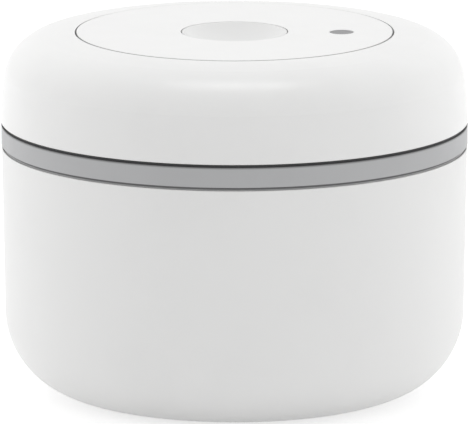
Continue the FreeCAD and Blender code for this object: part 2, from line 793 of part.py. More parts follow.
def cut_pilot_holes(body):
    """Blind holes for the screws of the barrels, the cover and the top plate."""
    lugs = opposite([(lug_outer, piston_front, screw_hole), (lug_inner, piston_front, screw_hole)])
    holes(body, "lug_pilots", lugs, lug_bottom - at.screw_bite - at.screw_tip_gap, lug_bottom)
    pilot_top = floor_bottom + at.screw_bite + at.screw_tip_gap
    cover_pilot = holes(
        body, "cover_pilot", [(0, cover_screw_circle, screw_hole)], floor_bottom - at.overrun, pilot_top)
    repeated(body, "cover_pilots", [cover_pilot], COVER_SCREWS)
    plate_low = column_top - at.plate_screw_bite - at.screw_tip_gap
    plate_pilot = holes(
        body, "plate_pilot", [(plate_screw_circle, 0, plate_screw_hole)], plate_low, column_top)
    repeated(body, "plate_pilots", [plate_pilot], PLATE_SCREWS)


def cut_air_ports(body):
    """Seats and ports through the floor for the pumps, and the indicator's port."""
    seats = opposite([(barrel_axis, port_y, at.spigot_radius + at.spigot_clearance)])
    holes(body, "spigot_seats", seats, spigot_seat, floor_top)
    ports = opposite([(barrel_axis, port_y, spigot_bore)])
    holes(body, "ports", ports, floor_bottom - at.overrun, spigot_seat)
    indicator = [(indicator_reach, 0, at.indicator_port)]
    holes(body, "indicator_port", indicator, floor_bottom - at.overrun, diaphragm_low)


def make_lid_gasket():
    """A ring with two lips that stop just short of the canister's leaning wall."""
    body = new_body("lid_gasket")
    back = gasket_inner + at.gasket_back
    slope = at.canister_taper / (rim - at.pad_proud)
    lower_tip = gasket_low + at.gasket_lip_height
    upper_root = gasket_high - at.gasket_lip_height
    lower_reach = canister_bore - slope * (rim - lower_tip) - at.gasket_clearance
    upper_reach = canister_bore - slope * (rim - gasket_high) - at.gasket_clearance
    turned(body, "ring", [
        (gasket_inner, gasket_low), (back, gasket_low), (lower_reach, lower_tip - at.gasket_lip_edge),
        (lower_reach, lower_tip), (back, lower_tip), (back, upper_root),
        (upper_reach, gasket_high - at.gasket_lip_edge), (upper_reach, gasket_high),
        (gasket_inner, gasket_high),
    ])
    return body


def make_glide_ring():
    """The black ring that the dome's edge runs over, with a flange on the band, seen in the seam."""
    body = new_body("glide_ring")
    flange = band_radius - at.glide_recess
    turned(body, "ring", [
        (glide_inner, glide_seat), (glide_outer, glide_seat), (glide_outer, band_top),
        (flange, band_top), (flange, glide_top), (glide_inner, glide_top),
    ])
    return body


def make_bottom_cover():
    """The cover that closes the air space under the lid's floor."""
    body = new_body("bottom_cover")
    outer = plug_radius - at.cover_inset
    ledge = at.filter_radius - at.filter_ledge
    turned(body, "plate", [
        (at.filter_radius, cover_bottom), (outer, cover_bottom), (outer, floor_bottom),
        (outer - at.cover_rim, floor_bottom), (outer - at.cover_rim, cover_top), (ledge, cover_top),
        (ledge, filter_ledge_low), (at.filter_radius, filter_ledge_low),
    ])
    rounded(body, "edge", [(outer, cover_bottom)], at.cover_edge_rounding)
    circle = cover_screw_circle
    post = posts(body, "post", [(0, circle, head_recess + at.screw_post_wall)], cover_top, floor_bottom)
    repeated(body, "posts", [post], COVER_SCREWS)
    recess = holes(body, "recess", [(0, circle, head_recess)], cover_bottom - at.overrun, cover_head_seat)
    repeated(body, "recesses", [recess], COVER_SCREWS)
    hole = holes(body, "hole", [(0, circle, screw_hole)], cover_head_seat - at.overrun, floor_bottom)
    repeated(body, "screw_holes", [hole], COVER_SCREWS)
    return body


def make_filter_disc():
    """The felt disc under the cover's ledge."""
    body = new_body("filter_disc")
    radius = at.filter_radius - at.filter_clearance
    posts(body, "felt", [(0, 0, radius)], filter_ledge_low - at.filter_thickness, filter_ledge_low)
    return body


def make_filter_cap():
    """The slotted cap that holds the filter."""
    body = new_body("filter_cap")
    spigot = at.filter_radius - at.filter_clearance
    flange = at.filter_radius + at.filter_cap_flange
    low = cover_bottom - at.filter_cap_proud
    high = filter_ledge_low - at.filter_thickness
    turned(body, "disc", [
        (0, low), (flange, low), (flange, cover_bottom), (spigot, cover_bottom), (spigot, high), (0, high),
    ])
    rounded(body, "edge", [(flange, low)], at.filter_cap_rounding)
    slot_circle = spigot - at.filter_slot_margin
    slots = []
    for step in range(FILTER_SLOTS):
        middle = slot_circle * FILTER_SLOT_SHARE * (2 * step / (FILTER_SLOTS - 1) - 1)
        half_length = root_of(slot_circle * slot_circle - middle * middle)
        half_width = at.filter_slot_width / 2
        slots.append(rectangle(middle - half_width, middle + half_width, -half_length, half_length))
    recesses(body, "slots", slots, low - at.overrun, high)
    return body


# Gear drive


def gear_face():
    """The face of the gear: involute flanks on straight roots, with a tooth towards +X."""
    pitch = pitch_radius.value
    base = pitch * math.cos(math.radians(PRESSURE_ANGLE))
    thickness = math.pi * at.gear_module.value / 2 - at.gear_backlash.value
    involute_at_pitch = math.tan(math.radians(PRESSURE_ANGLE)) - math.radians(PRESSURE_ANGLE)
    base_half_angle = thickness / (2 * pitch) + involute_at_pitch
    low = max(base, gear_root.value)

    def flank_point(radius, middle, side):
        pressure = math.acos(min(base / radius, 1))
        angle = middle + side * (base_half_angle - math.tan(pressure) + pressure)
        return Vector(radius * math.cos(angle), radius * math.sin(angle), 0)

    def on_circle(radius, angle):
        return Vector(radius * math.cos(angle), radius * math.sin(angle), 0)

    radii = [low + (gear_tip.value - low) * step / (FLANK_POINTS - 1) for step in range(FLANK_POINTS)]
    edges = []
    for tooth in range(GEAR_TEETH):
        middle = 2 * math.pi * tooth / GEAR_TEETH
        following = 2 * math.pi * (tooth + 1) / GEAR_TEETH
        rise = [flank_point(radius, middle, -1) for radius in radii]
        fall = [flank_point(radius, middle, 1) for radius in reversed(radii)]
        rise_foot = on_circle(gear_root.value, math.atan2(rise[0].y, rise[0].x))
        fall_foot = on_circle(gear_root.value, math.atan2(fall[-1].y, fall[-1].x))
        next_start = flank_point(low, following, -1)
        next_foot = on_circle(gear_root.value, math.atan2(next_start.y, next_start.x))
        edges.append(Part.LineSegment(rise_foot, rise[0]).toShape())
        edges.append(flank_edge(rise))
        edges.append(Part.Arc(rise[-1], on_circle(gear_tip.value, middle), fall[0]).toShape())
        edges.append(flank_edge(fall))
        edges.append(Part.LineSegment(fall[-1], fall_foot).toShape())
        between = on_circle(gear_root.value, (middle + following) / 2)
        edges.append(Part.Arc(fall_foot, between, next_foot).toShape())
    return Part.Face(Part.Wire(edges))


def flank_edge(points):
    """One smooth edge through the points of a tooth's flank."""
    curve = Part.BSplineCurve()
    curve.interpolate(points)
    return curve.toShape()


def make_drive_gear():
    """The gear, its hub and the hexagon that drives the spider, bored for the column."""
    up = Vector(0, 0, 1)
    teeth = gear_face()
    teeth.translate(Vector(0, 0, gear_bottom.value))
    gear = teeth.extrude(up * (gear_top - gear_bottom).value)
    hub_height = (spider_bottom - gear_top).value
    hub = Part.makeCylinder(pitch_radius.value, hub_height, Vector(0, 0, gear_top.value))
    key_outline = hexagon(0, 0, key_flat)
    corners = [Vector(x.value, y.value, spider_bottom.value) for x, y in key_outline]
    key_face = Part.Face(Part.makePolygon(corners + corners[:1]))
    key = key_face.extrude(up * (hub_top - spider_bottom).value)
    bore_low = (gear_bottom - at.overrun).value
    bore = Part.makeCylinder(hub_bore.value, (hub_top + at.overrun).value - bore_low, Vector(0, 0, bore_low))
    return plain_feature("drive_gear", gear.fuse([hub, key]).removeSplitter().cut(bore))


def make_washer(label, low):
    """A thrust washer on the column."""
    body = new_body(label)
    posts(body, "ring", [(0, 0, washer_radius), (0, 0, washer_bore)], low, low + at.washer_thickness)
    return body


def make_piston_rack(label, turn):
    """A rack with the pump's piston on its end."""
    body = new_body(label)
    blocks(body, "bar", [rectangle(rack_root, rack_rear, -rack_run, piston_rear)], rack_low, rack_high)
    first = rack_pitch * ((1 - RACK_TEETH) / 2)
    tilt = math.tan(math.radians(PRESSURE_ANGLE))
    half_tip = rack_pitch / 4 - at.gear_module * tilt
    half_root = rack_pitch / 4 + (rack_root - pitch_radius) * tilt
    tooth = blocks(body, "tooth", [[
        (rack_root, first - half_root), (rack_root, first + half_root),
        (rack_tip, first + half_tip), (rack_tip, first - half_tip),
    ]], rack_low, rack_high)
    teeth = body.newObject("PartDesign::LinearPattern", f"{body.Name}_teeth")
    teeth.Originals = [tooth]
    teeth.Direction = (origin_part(body, "Y_Axis"), [""])
    teeth.setExpression("Length", (rack_pitch * (RACK_TEETH - 1)).text)
    teeth.Occurrences = RACK_TEETH
    body.Tip = teeth
    doc.recompute()
    along_barrel(body, "rear_land", [piston_radius], piston_rear, seal_rear)
    along_barrel(body, "core", [piston_core], seal_rear, seal_front)
    along_barrel(body, "front_land", [piston_radius], seal_front, piston_front)
    return half_turned(body, turn)


def make_piston_seal(label, turn):
    """A cup seal round the piston: it holds on the draw and lets air past on the return."""
    body = new_body(label)
    outer = at.barrel_bore - at.piston_seal_gap
    along_barrel(body, "ring", [outer, piston_core], seal_rear, seal_front)
    lips = [outer - at.piston_seal_lip, piston_core + at.piston_seal_lip]
    bored_barrel(body, "cup", lips, seal_rear, seal_rear + at.piston_seal_cup)
    return half_turned(body, turn)


# Pumps


def make_barrel(label, turn):
    """A pump barrel with a spigot down into the floor and two lugs for its screws."""
    body = new_body(label)
    along_barrel(body, "tube", [barrel_radius], barrel_mouth, barrel_reach)
    low_y = piston_front - at.lug_half_width
    high_y = piston_front + at.lug_half_width
    reach_in = lug_inner - at.lug_half_width
    reach_out = lug_outer + at.lug_half_width
    blocks(body, "lugs", [rectangle(reach_in, reach_out, low_y, high_y)], lug_bottom, lug_top)
    spigot_top = gear_middle - at.barrel_bore
    posts(body, "spigot", [(barrel_axis, port_y, at.spigot_radius)], spigot_low, spigot_top)
    bored_barrel(body, "bore", [at.barrel_bore], barrel_mouth - at.overrun, barrel_end)
    holes(body, "port", [(barrel_axis, port_y, spigot_bore)], spigot_low - at.overrun, gear_middle)
    screws = [(lug_outer, piston_front, screw_hole), (lug_inner, piston_front, screw_hole)]
    holes(body, "screw_holes", screws, lug_bottom - at.overrun, lug_top)
    return half_turned(body, turn)


def make_inlet_valve(label, turn):
    """A duckbill valve clamped under the barrel's spigot."""
    body = new_body(label)
    top = spigot_low + at.valve_bill_height
    bill = spigot_bore - at.valve_bill_gap
    inside = bill - at.valve_skin
    turned(body, "bill", [
        (inside, spigot_seat), (at.spigot_radius, spigot_seat), (at.spigot_radius, spigot_low),
        (bill, spigot_low), (at.valve_bill_tip, top), (0, top), (0, top - at.valve_skin),
        (at.valve_slit, top - at.valve_skin), (inside, spigot_low),
    ])
    half_slit = at.valve_slit / 2
    slit = rectangle(-half_slit, half_slit, -at.valve_bill_tip / 2, at.valve_bill_tip / 2)
    recesses(body, "slit", [slit], top - at.valve_skin - at.valve_slit, top)
    spun = Rotation(Vector(0, 0, 1), turn)
    body.Placement = Placement(spun.multVec(Vector(barrel_axis.value, port_y.value, 0)), spun)
    side = 1 if turn == 0 else -1
    body.setExpression(".Placement.Base.x", (barrel_axis * side).text)
    body.setExpression(".Placement.Base.y", (port_y * side).text)
    return body


# Screws


def make_screws(label, places, seat, tip, head_above, radius, head_radius, drive_flat, count=1, turn=0.0):
    """Socket screws at the places: the head lies above or below its seat, and the tip beyond it."""
    body = new_body(label)
    head_end = seat + at.screw_head_height if head_above else seat - at.screw_head_height
    head_low, head_high = (seat, head_end) if head_above else (head_end, seat)
    shank_low, shank_high = (tip, seat) if head_above else (seat, tip)
    heads = posts(body, "heads", [(x, y, head_radius) for x, y in places], head_low, head_high, turn)
    shanks = posts(body, "shanks", [(x, y, radius) for x, y in places], shank_low, shank_high, turn)
    drive_low = head_high - at.screw_drive_depth if head_above else head_low - at.overrun
    drive_high = head_high + at.overrun if head_above else head_low + at.screw_drive_depth
    sketch = new_sketch(body, "drive_outlines", height=drive_high, turn=turn)
    for x, y in places:
        draw_outline(sketch, hexagon(x, y, drive_flat))
    drives = extruded(body, "drives", sketch, drive_high - drive_low, "Pocket")
    if count > 1:
        repeated(body, "group", [heads, shanks, drives], count)
    return body


def make_all_screws():
    """The four kinds of screw, each kind as one group."""
    usual = (at.screw_radius, at.screw_head_radius, at.screw_drive_flat)
    lugs = opposite([(lug_outer, piston_front), (lug_inner, piston_front)])
    make_screws("pump_screws", lugs, lug_top, lug_bottom - at.screw_bite, True, *usual)
    make_screws("cover_screws", [(0, cover_screw_circle)], cover_head_seat,
                floor_bottom + at.screw_bite, False, *usual, count=COVER_SCREWS)
    make_screws("shell_screws", [(shell_post_circle, 0)], shell_head_seat,
                spider_top + at.screw_bite, False, *usual, count=SHELL_POSTS, turn=SHELL_POST_ANGLE)
    slim = (at.plate_screw_radius, at.plate_screw_head_radius, at.plate_screw_drive_flat)
    make_screws("top_plate_screws", [(plate_screw_circle, 0)], well_bottom,
                column_top - at.plate_screw_bite, True, *slim, count=PLATE_SCREWS)


# Twisting shell


def make_lid_shell():
    """The white dome: a bowed side, a round shoulder and a crowned ring round the top plate."""
    body = new_body("lid_shell")
    wall = at.dome_wall
    inner_side = side_radius - wall
    inner_turn = dome_radius - side_radius + inner_side * side_cosine
    inner_crown = crown - wall
    inner_edge = dome_opening + inner_crown * crown_sine
    inner_fall = lid_top - crown + inner_crown * crown_cosine
    turned(body, "dome", [
        (dome_radius - wall, dome_bottom), (dome_radius, dome_bottom, side_radius),
        (dome_radius - side_in, dome_bottom + side_up, shoulder),
        (crown_edge, lid_top - ring_drop, crown), (dome_opening, lid_top),
        (dome_opening, lid_top - wall, -inner_crown), (inner_edge, inner_fall, wall - shoulder),
        (inner_turn, dome_bottom + inner_side * side_sine, -inner_side),
    ])
    rounded(body, "edge", [(dome_radius, dome_bottom)], at.dome_edge_rounding)
    rounded(body, "opening_edge", [(dome_opening, lid_top)], at.dome_opening_rounding)
    place = [(shell_post_circle, 0, at.shell_post_radius)]
    post = posts(body, "post", place, spider_top, lid_top - at.shell_post_sink, SHELL_POST_ANGLE)
    repeated(body, "posts", [post], SHELL_POSTS)
    pilot_place = [(shell_post_circle, 0, screw_hole)]
    pilot_top = spider_top + at.screw_bite + at.screw_tip_gap
    pilot = holes(body, "pilot", pilot_place, spider_top - at.overrun, pilot_top, SHELL_POST_ANGLE)
    repeated(body, "pilots", [pilot], SHELL_POSTS)
    return body


def make_drive_spider():
    """The disc that joins gear and shell, slotted where the indicator passes through it."""
    body = new_body("drive_spider")
    posts(body, "disc", [(0, 0, spider_radius)], spider_bottom, spider_top)
    recesses(body, "key", [hexagon(0, 0, key_flat + at.key_clearance)],
             spider_bottom - at.overrun, spider_top)
    half_width = housing_radius + at.slot_clearance
    outer = indicator_reach + half_width
    inner = indicator_reach - half_width
    end_sine = (housing_radius + at.slot_end_gap) / indicator_reach
    end_cosine = root_of(1 - end_sine * end_sine)
    twist_sine = math.sin(math.radians(TWIST_EACH_WAY))
    twist_cosine = math.cos(math.radians(TWIST_EACH_WAY))
    up = end_cosine * twist_sine + end_sine * twist_cosine
    along = end_cosine * twist_cosine - end_sine * twist_sine
    slot = [
        (outer * along, -(outer * up), outer), (outer * along, outer * up),
        (inner * along, inner * up, -inner), (inner * along, -(inner * up)),
    ]
    slot_cut = recesses(body, "slot", [slot], spider_bottom - at.overrun, spider_top)
    repeated(body, "slots", [slot_cut], 2)
    circle = shell_post_circle
    below = spider_bottom - at.overrun
    hole = holes(body, "hole", [(circle, 0, screw_hole)], below, spider_top, SHELL_POST_ANGLE)
    repeated(body, "screw_holes", [hole], SHELL_POSTS)
    recess = holes(body, "recess", [(circle, 0, head_recess)], below, shell_head_seat, SHELL_POST_ANGLE)
    repeated(body, "recesses", [recess], SHELL_POSTS)
    return body


# Top plate, button and release valve


def make_top_plate():
    """The still plate in the middle of the lid, with the button's well and its tube to the column."""
    body = new_body("top_plate")
    skirt_inner = plate_radius - at.plate_skirt
    turned(body, "plate", [
        (at.column_bore, column_top), (tube_radius, column_top), (tube_radius, well_bottom - at.well_floor),
        (well_outer, well_bottom - at.well_floor), (well_outer, plate_bottom), (skirt_inner, plate_bottom),
        (skirt_inner, lip_bottom), (lip_radius, lip_bottom), (lip_radius, lip_top), (plate_radius, lip_top),
        (plate_radius, plate_top), (well_radius, plate_top), (well_radius, well_bottom),
        (at.column_bore, well_bottom),
    ])
    edges = [(plate_radius, plate_top), (well_radius, plate_top)]
    rounded(body, "edges", edges, at.plate_edge_rounding)
    half_rib = at.plate_rib / 2
    rib_start = well_outer - at.well_wall / 2
    rib_end = plate_radius - at.plate_skirt / 2
    rib = blocks(body, "rib", [rectangle(rib_start, rib_end, -half_rib, half_rib)],
                 lip_bottom, plate_bottom, PLATE_RIB_ANGLE)
    repeated(body, "ribs", [rib], PLATE_RIBS)
    boss = [(indicator_reach, 0, sleeve_radius + at.sleeve_boss_wall)]
    posts(body, "indicator_boss", boss, sleeve_bottom, plate_bottom)
    seat = [(indicator_reach, 0, sleeve_radius + at.sleeve_clearance)]
    holes(body, "sleeve_seat", seat, sleeve_bottom - at.overrun, sleeve_top)
    holes(body, "indicator_hole", [(indicator_reach, 0, indicator_hole)], sleeve_top - at.overrun, plate_top)
    screw = holes(body, "screw_hole", [(plate_screw_circle, 0, plate_screw_hole)],
                  column_top - at.overrun, well_bottom)
    repeated(body, "screw_holes", [screw], PLATE_SCREWS)
    return body


def make_release_button():
    """The dished button, with a boss that reaches down to the spring."""
    body = new_body("release_button")
    rim_start = at.button_radius - at.button_rim
    dish = at.button_dish_depth
    dish_radius = (rim_start * rim_start + dish * dish) / (dish * 2)
    skirt_inner = at.button_radius - at.button_skirt
    skirt_low = button_top - at.button_skirt_depth
    boss = at.column_bore - at.button_boss_gap
    under_radius = dish_radius + at.button_thickness
    dish_centre = button_roof + under_radius
    roof_at_boss = dish_centre - root_of(under_radius * under_radius - boss * boss)
    roof_at_skirt = dish_centre - root_of(under_radius * under_radius - skirt_inner * skirt_inner)
    socket_top = button_foot + at.button_socket_depth
    turned(body, "cap", [
        (0, socket_top), (stem_socket, socket_top), (stem_socket, button_foot), (boss, button_foot),
        (boss, roof_at_boss, under_radius), (skirt_inner, roof_at_skirt), (skirt_inner, skirt_low),
        (at.button_radius, skirt_low), (at.button_radius, button_top),
        (rim_start, button_top, -dish_radius), (0, button_top - dish),
    ])
    rounded(body, "edge", [(at.button_radius, button_top)], at.button_edge_rounding)
    return body


def make_release_stem():
    """The rod from the button to the valve's poppet."""
    body = new_body("release_stem")
    top = button_foot + at.button_socket_depth
    low = seal_bottom - at.poppet_thickness
    turned(body, "rod", [
        (0, low), (at.poppet_radius, low), (at.poppet_radius, seal_bottom), (at.stem_radius, seal_bottom),
        (at.stem_radius, top), (0, top),
    ])
    return body


def make_release_seal():
    """The washer that closes the valve's seat."""
    body = new_body("release_seal")
    posts(body, "washer", [(0, 0, at.valve_seal_radius), (0, 0, stem_socket)], seal_bottom, valve_seat)
    return body


# Vacuum indicator


def make_indicator_housing():
    """The tube from the floor to the top plate, with a step for the spring."""
    body = new_body("indicator_housing")
    step_low = housing_step - at.housing_step_thickness
    rod_hole = at.plunger_rod + at.plunger_rod_gap
    turned(body, "tube", [
        (housing_bore, housing_bottom), (housing_radius, housing_bottom), (housing_radius, sleeve_bottom),
        (housing_bore, sleeve_bottom), (housing_bore, housing_step), (rod_hole, housing_step),
        (rod_hole, step_low), (housing_bore, step_low),
    ])
    return at_indicator(body)


def make_indicator_sleeve():
    """The green sleeve that shows once the plunger has dropped."""
    body = new_body("indicator_sleeve")
    posts(body, "ring", [(0, 0, sleeve_radius), (0, 0, indicator_hole)], sleeve_bottom, sleeve_top)
    return at_indicator(body)


def make_indicator_diaphragm():
    """A thin hat clamped under the housing, which the canister's vacuum draws down."""
    body = new_body("indicator_diaphragm")
    skin = at.diaphragm_skin
    crown = at.plunger_rod + at.plunger_foot_width
    foot = crown + skin
    turned(body, "hat", [
        (0, plunger_foot - skin), (crown - skin, plunger_foot - skin), (foot - skin, diaphragm_low),
        (housing_radius, diaphragm_low), (housing_radius, housing_bottom), (foot, housing_bottom),
        (crown, plunger_foot), (0, plunger_foot),
    ])
    return at_indicator(body)


def make_indicator_plunger():
    """The grey plunger: its flat top is the dot beside the button."""
    body = new_body("indicator_plunger")
    foot = at.plunger_rod + at.plunger_foot_width
    foot_top = plunger_foot + at.plunger_foot_height
    turned(body, "rod", [
        (0, plunger_foot), (foot, plunger_foot), (foot, foot_top), (at.plunger_rod, foot_top),
        (at.plunger_rod, plunger_shoulder), (at.indicator_radius, plunger_shoulder),
        (at.indicator_radius, plunger_top), (0, plunger_top),
    ])
    rounded(body, "edge", [(at.indicator_radius, plunger_top)], at.indicator_edge_rounding)
    return at_indicator(body)


def at_indicator(body):
    """Moves a body turned on its own axis to the indicator's axis."""
    body.Placement = Placement(Vector(indicator_reach.value, 0, 0), Rotation())
    body.setExpression(".Placement.Base.x", indicator_reach.text)
    return body


# Springs


def arc_edge(start, heading, finish):
    """The arc from start to finish that leaves start along heading."""
    chord = finish - start
    half = chord.Length / 2
    chord.normalize()
    aside = heading - chord * heading.dot(chord)
    bend = math.atan2(aside.Length, heading.dot(chord))
    aside.normalize()
    middle = (start + finish) * 0.5 + aside * (half * math.tan(bend / 2))
    return Part.Arc(start, middle, finish).toShape()


def biarc_edges(start, heading, finish, arrival):
    """Two arcs that join two points along the given directions."""
    gap = finish - start
    total = heading + arrival
    spread = 2 * (1 - heading.dot(arrival))
    mixed = gap.dot(total)
    reach = (-mixed + math.sqrt(mixed * mixed + spread * gap.dot(gap))) / spread
    joint = (start + finish + (heading - arrival) * reach) * 0.5
    turn = joint - start
    turn.normalize()
    mid_heading = turn * (2 * turn.dot(heading)) - heading
    return [arc_edge(start, heading, joint), arc_edge(joint, mid_heading, finish)]


def make_spring(label, centre_x, low, high, mean_radius, wire, end_gap, turns):
    """A spring of one unbroken wire, with its first and last turns drawn close."""
    end_rise = wire + end_gap
    rise = high - low - wire
    mid_pitch = (rise - 2 * end_rise) / (turns - 2)
    steps = turns * QUARTERS

    def height_at(quarter):
        turn = quarter / QUARTERS
        if turn <= 1:
            return end_rise * turn
        if turn >= turns - 1:
            return rise - end_rise * (turns - turn)
        return end_rise + mid_pitch * (turn - 1)

    points = []
    for quarter in range(steps + 1):
        angle = 2 * math.pi * quarter / QUARTERS
        height = low + wire / 2 + height_at(quarter)
        points.append(Vector(
            centre_x + mean_radius * math.cos(angle), mean_radius * math.sin(angle), height))
    headings = []
    for quarter in range(steps + 1):
        angle = 2 * math.pi * quarter / QUARTERS
        before = max(quarter - 1, 0)
        after = min(quarter + 1, steps)
        climb = (height_at(after) - height_at(before)) * QUARTERS / (after - before) / (2 * math.pi)
        heading = Vector(-mean_radius * math.sin(angle), mean_radius * math.cos(angle), climb)
        heading.normalize()
        headings.append(heading)
    edges = []
    for quarter in range(steps):
        edges += biarc_edges(points[quarter], headings[quarter], points[quarter + 1], headings[quarter + 1])
    path = Part.Wire(edges)
    ring = Part.Wire(Part.Circle(points[0], headings[0], wire / 2).toShape())
    print(f"{label}: least gap between its turns {min(end_rise, mid_pitch) - wire:.2f} mm")
    return plain_feature(label, path.makePipeShell([ring], True, False))


def make_springs():
    """The spring under the button and the one under the indicator."""
    release_radius = at.column_bore - at.spring_side_gap - at.spring_wire / 2
    make_spring("release_spring", 0, spring_shoulder.value, button_foot.value, release_radius.value,
                at.spring_wire.value, at.spring_end_gap.value, RELEASE_SPRING_TURNS)
    indicator_radius = (at.plunger_rod + housing_bore) / 2
    make_spring("indicator_spring", indicator_reach.value, housing_step.value, plunger_shoulder.value,
                indicator_radius.value, at.indicator_wire.value, at.indicator_spring_end_gap.value,
                INDICATOR_SPRING_TURNS)


def finish():
    """Checks every object and writes one file for each sub-part."""
    doc.recompute()
    for thing in doc.Objects:
        if "Invalid" in thing.State or "Error" in thing.State:
            raise RuntimeError(f"{thing.Name} failed: {thing.State}")
    kinds = ("PartDesign::Body", "Part::Feature")
    nodes = [thing for thing in doc.Objects if thing.TypeId in kinds]
    for node in nodes:
        if node.Shape.isNull() or not node.Shape.isValid():
            raise RuntimeError(f"{node.Label} has no valid shape")
    os.makedirs("parts", exist_ok=True)
    for node in nodes:
        node.Shape.exportStep(f"parts/{node.Label}.step")


make_canister()
make_base_pad()
make_lid_base()
make_lid_gasket()
make_glide_ring()
make_bottom_cover()
make_filter_disc()
make_filter_cap()
make_drive_gear()
make_washer("thrust_washer_lower", boss_top)
make_washer("thrust_washer_upper", column_top - at.washer_thickness)
for side, side_turn in (("right", 0.0), ("left", HALF_TURN)):
    make_barrel(f"pump_barrel_{side}", side_turn)
    make_inlet_valve(f"inlet_valve_{side}", side_turn)
    make_piston_rack(f"piston_rack_{side}", side_turn)
    make_piston_seal(f"piston_seal_{side}", side_turn)
make_all_screws()
make_lid_shell()
make_drive_spider()
make_top_plate()
make_release_button()
make_release_stem()
make_release_seal()
make_indicator_housing()
make_indicator_sleeve()
make_indicator_diaphragm()
make_indicator_plunger()
make_springs()
finish()
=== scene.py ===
import bmesh
import bpy
import json
import math
from collections import namedtuple
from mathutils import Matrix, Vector


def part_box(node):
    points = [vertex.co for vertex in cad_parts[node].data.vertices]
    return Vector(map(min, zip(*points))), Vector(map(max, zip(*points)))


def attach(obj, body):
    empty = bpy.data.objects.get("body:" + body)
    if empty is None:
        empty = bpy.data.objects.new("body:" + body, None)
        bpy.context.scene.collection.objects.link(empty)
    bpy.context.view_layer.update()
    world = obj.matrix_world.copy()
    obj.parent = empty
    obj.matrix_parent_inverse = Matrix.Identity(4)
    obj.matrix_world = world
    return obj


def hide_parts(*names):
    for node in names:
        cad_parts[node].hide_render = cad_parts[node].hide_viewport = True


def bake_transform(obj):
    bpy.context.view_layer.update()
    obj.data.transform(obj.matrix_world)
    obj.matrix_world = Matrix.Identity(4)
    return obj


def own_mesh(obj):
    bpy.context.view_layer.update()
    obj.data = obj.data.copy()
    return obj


# Vacuum canister: a white steel cup with a twist-pump lid. Lengths are metres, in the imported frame.

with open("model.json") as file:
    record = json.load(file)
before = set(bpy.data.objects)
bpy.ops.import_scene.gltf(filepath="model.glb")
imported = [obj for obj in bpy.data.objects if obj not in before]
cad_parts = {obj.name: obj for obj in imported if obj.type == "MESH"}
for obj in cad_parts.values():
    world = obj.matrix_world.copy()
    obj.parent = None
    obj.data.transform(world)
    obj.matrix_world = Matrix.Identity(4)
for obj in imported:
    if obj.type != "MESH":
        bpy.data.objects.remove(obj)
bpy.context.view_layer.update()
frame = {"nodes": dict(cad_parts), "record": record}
nodes = frame["nodes"]

# Camera, found from the photograph's outline, with angles in degrees
IMAGE_WIDTH_PIXELS = 469
FOCAL_PIXELS = 9887.5
SENSOR_WIDTH_MM = 36.0
CAMERA_DISTANCE = 2.5
CAMERA_AZIMUTH = 2.3
CAMERA_ELEVATION = 11.59
CAMERA_TARGET = Vector((0.0, 0.0, 0.04576))
CAMERA_FAR = 100.0

# Mesh detail
AROUND = 192
AROUND_SMALL = 64
CORNER_STEPS = 6
BIG_CORNER_STEPS = 28
WIRE_SIDES = 12
STEPS_PER_TURN = 40
SHARP_ANGLE = math.radians(32)
TINY = 1e-7

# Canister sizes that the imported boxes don't give
STEEL_WALL = 0.0010
STEEL_TAPER = 0.00107
STEEL_CORNER = 0.0211
STEEL_RIM_ROUND = 0.0002
STEEL_RIM_COAT = 0.00025
STEEL_BEND_ROUND = 0.002
FOOT_EDGE_ROUND = 0.0003
DOME_OVERHANG = 0.0002

# Foot pad, with two grooves, each given by its middle radius and its width
PAD_CLEARANCE = 0.0002
PAD_EDGE_ROUND = 0.0005
PAD_GROOVES = ((0.0140, 0.0010), (0.0260, 0.0020))
PAD_GROOVE_DEPTH = 0.0006
PAD_GROOVE_ROUND = 0.00025
PAD_GROOVE_TOP_SHARE = 0.5

# Lid gasket, with softened lips
GASKET_BACK = 0.0015
GASKET_LIP_HEIGHT = 0.0016
GASKET_LIP_EDGE = 0.0004
GASKET_GROOVE_INNER = 0.05465
GASKET_ROUND = 0.00018

# Small soft pieces in the pump, the release valve and the indicator
SEAL_LIP = 0.0007
SEAL_CUP = 0.0020
SEAL_CORE = 0.0066
SEAL_ROUND = 0.0002
STEM_SOCKET = 0.00163
WASHER_ROUND = 0.00025
VALVE_FLANGE = 0.0006
VALVE_BILL = 0.0017
VALVE_BILL_INSIDE = 0.0011
VALVE_TIP = 0.0008
VALVE_SKIN = 0.0006
VALVE_SLIT = 0.00025
VALVE_ROUND = 0.00012
DIAPHRAGM_CROWN = 0.0019
DIAPHRAGM_SKIN = 0.0005
DIAPHRAGM_RIM = 0.0008
DIAPHRAGM_ROUND = 0.0002
FELT_ROUND = 0.00018

# Springs
RELEASE_WIRE = 0.0006
RELEASE_TURNS = 9
INDICATOR_WIRE = 0.0004
INDICATOR_TURNS = 8
SPRING_END_GAP = 0.00045

# Noise textures: most values lie between low and high, and scales are cells per metre
TEXTURE_LOW = 0.3
TEXTURE_HIGH = 0.7
NOISE_DETAIL = 3.0
NOISE_ROUGHNESS = 0.55

# Moulded plastic and sprayed coats
CLOUD_SCALE = 38.0
CLOUD_DETAIL = 4.0
CLOUD_TONES = (-0.2, 1.0)
CLOUD_VARY = 0.015
GRAIN_SCALE = 5200.0
GRAIN_DETAIL = 2.0
GRAIN_SHARE = 0.35
GRAIN_RELIEF = 0.16
GRAIN_DEPTH = 0.00002
GLOSS_SCALE = 160.0
GLOSS_DETAIL = 5.0
GLOSS_VARY = 0.04

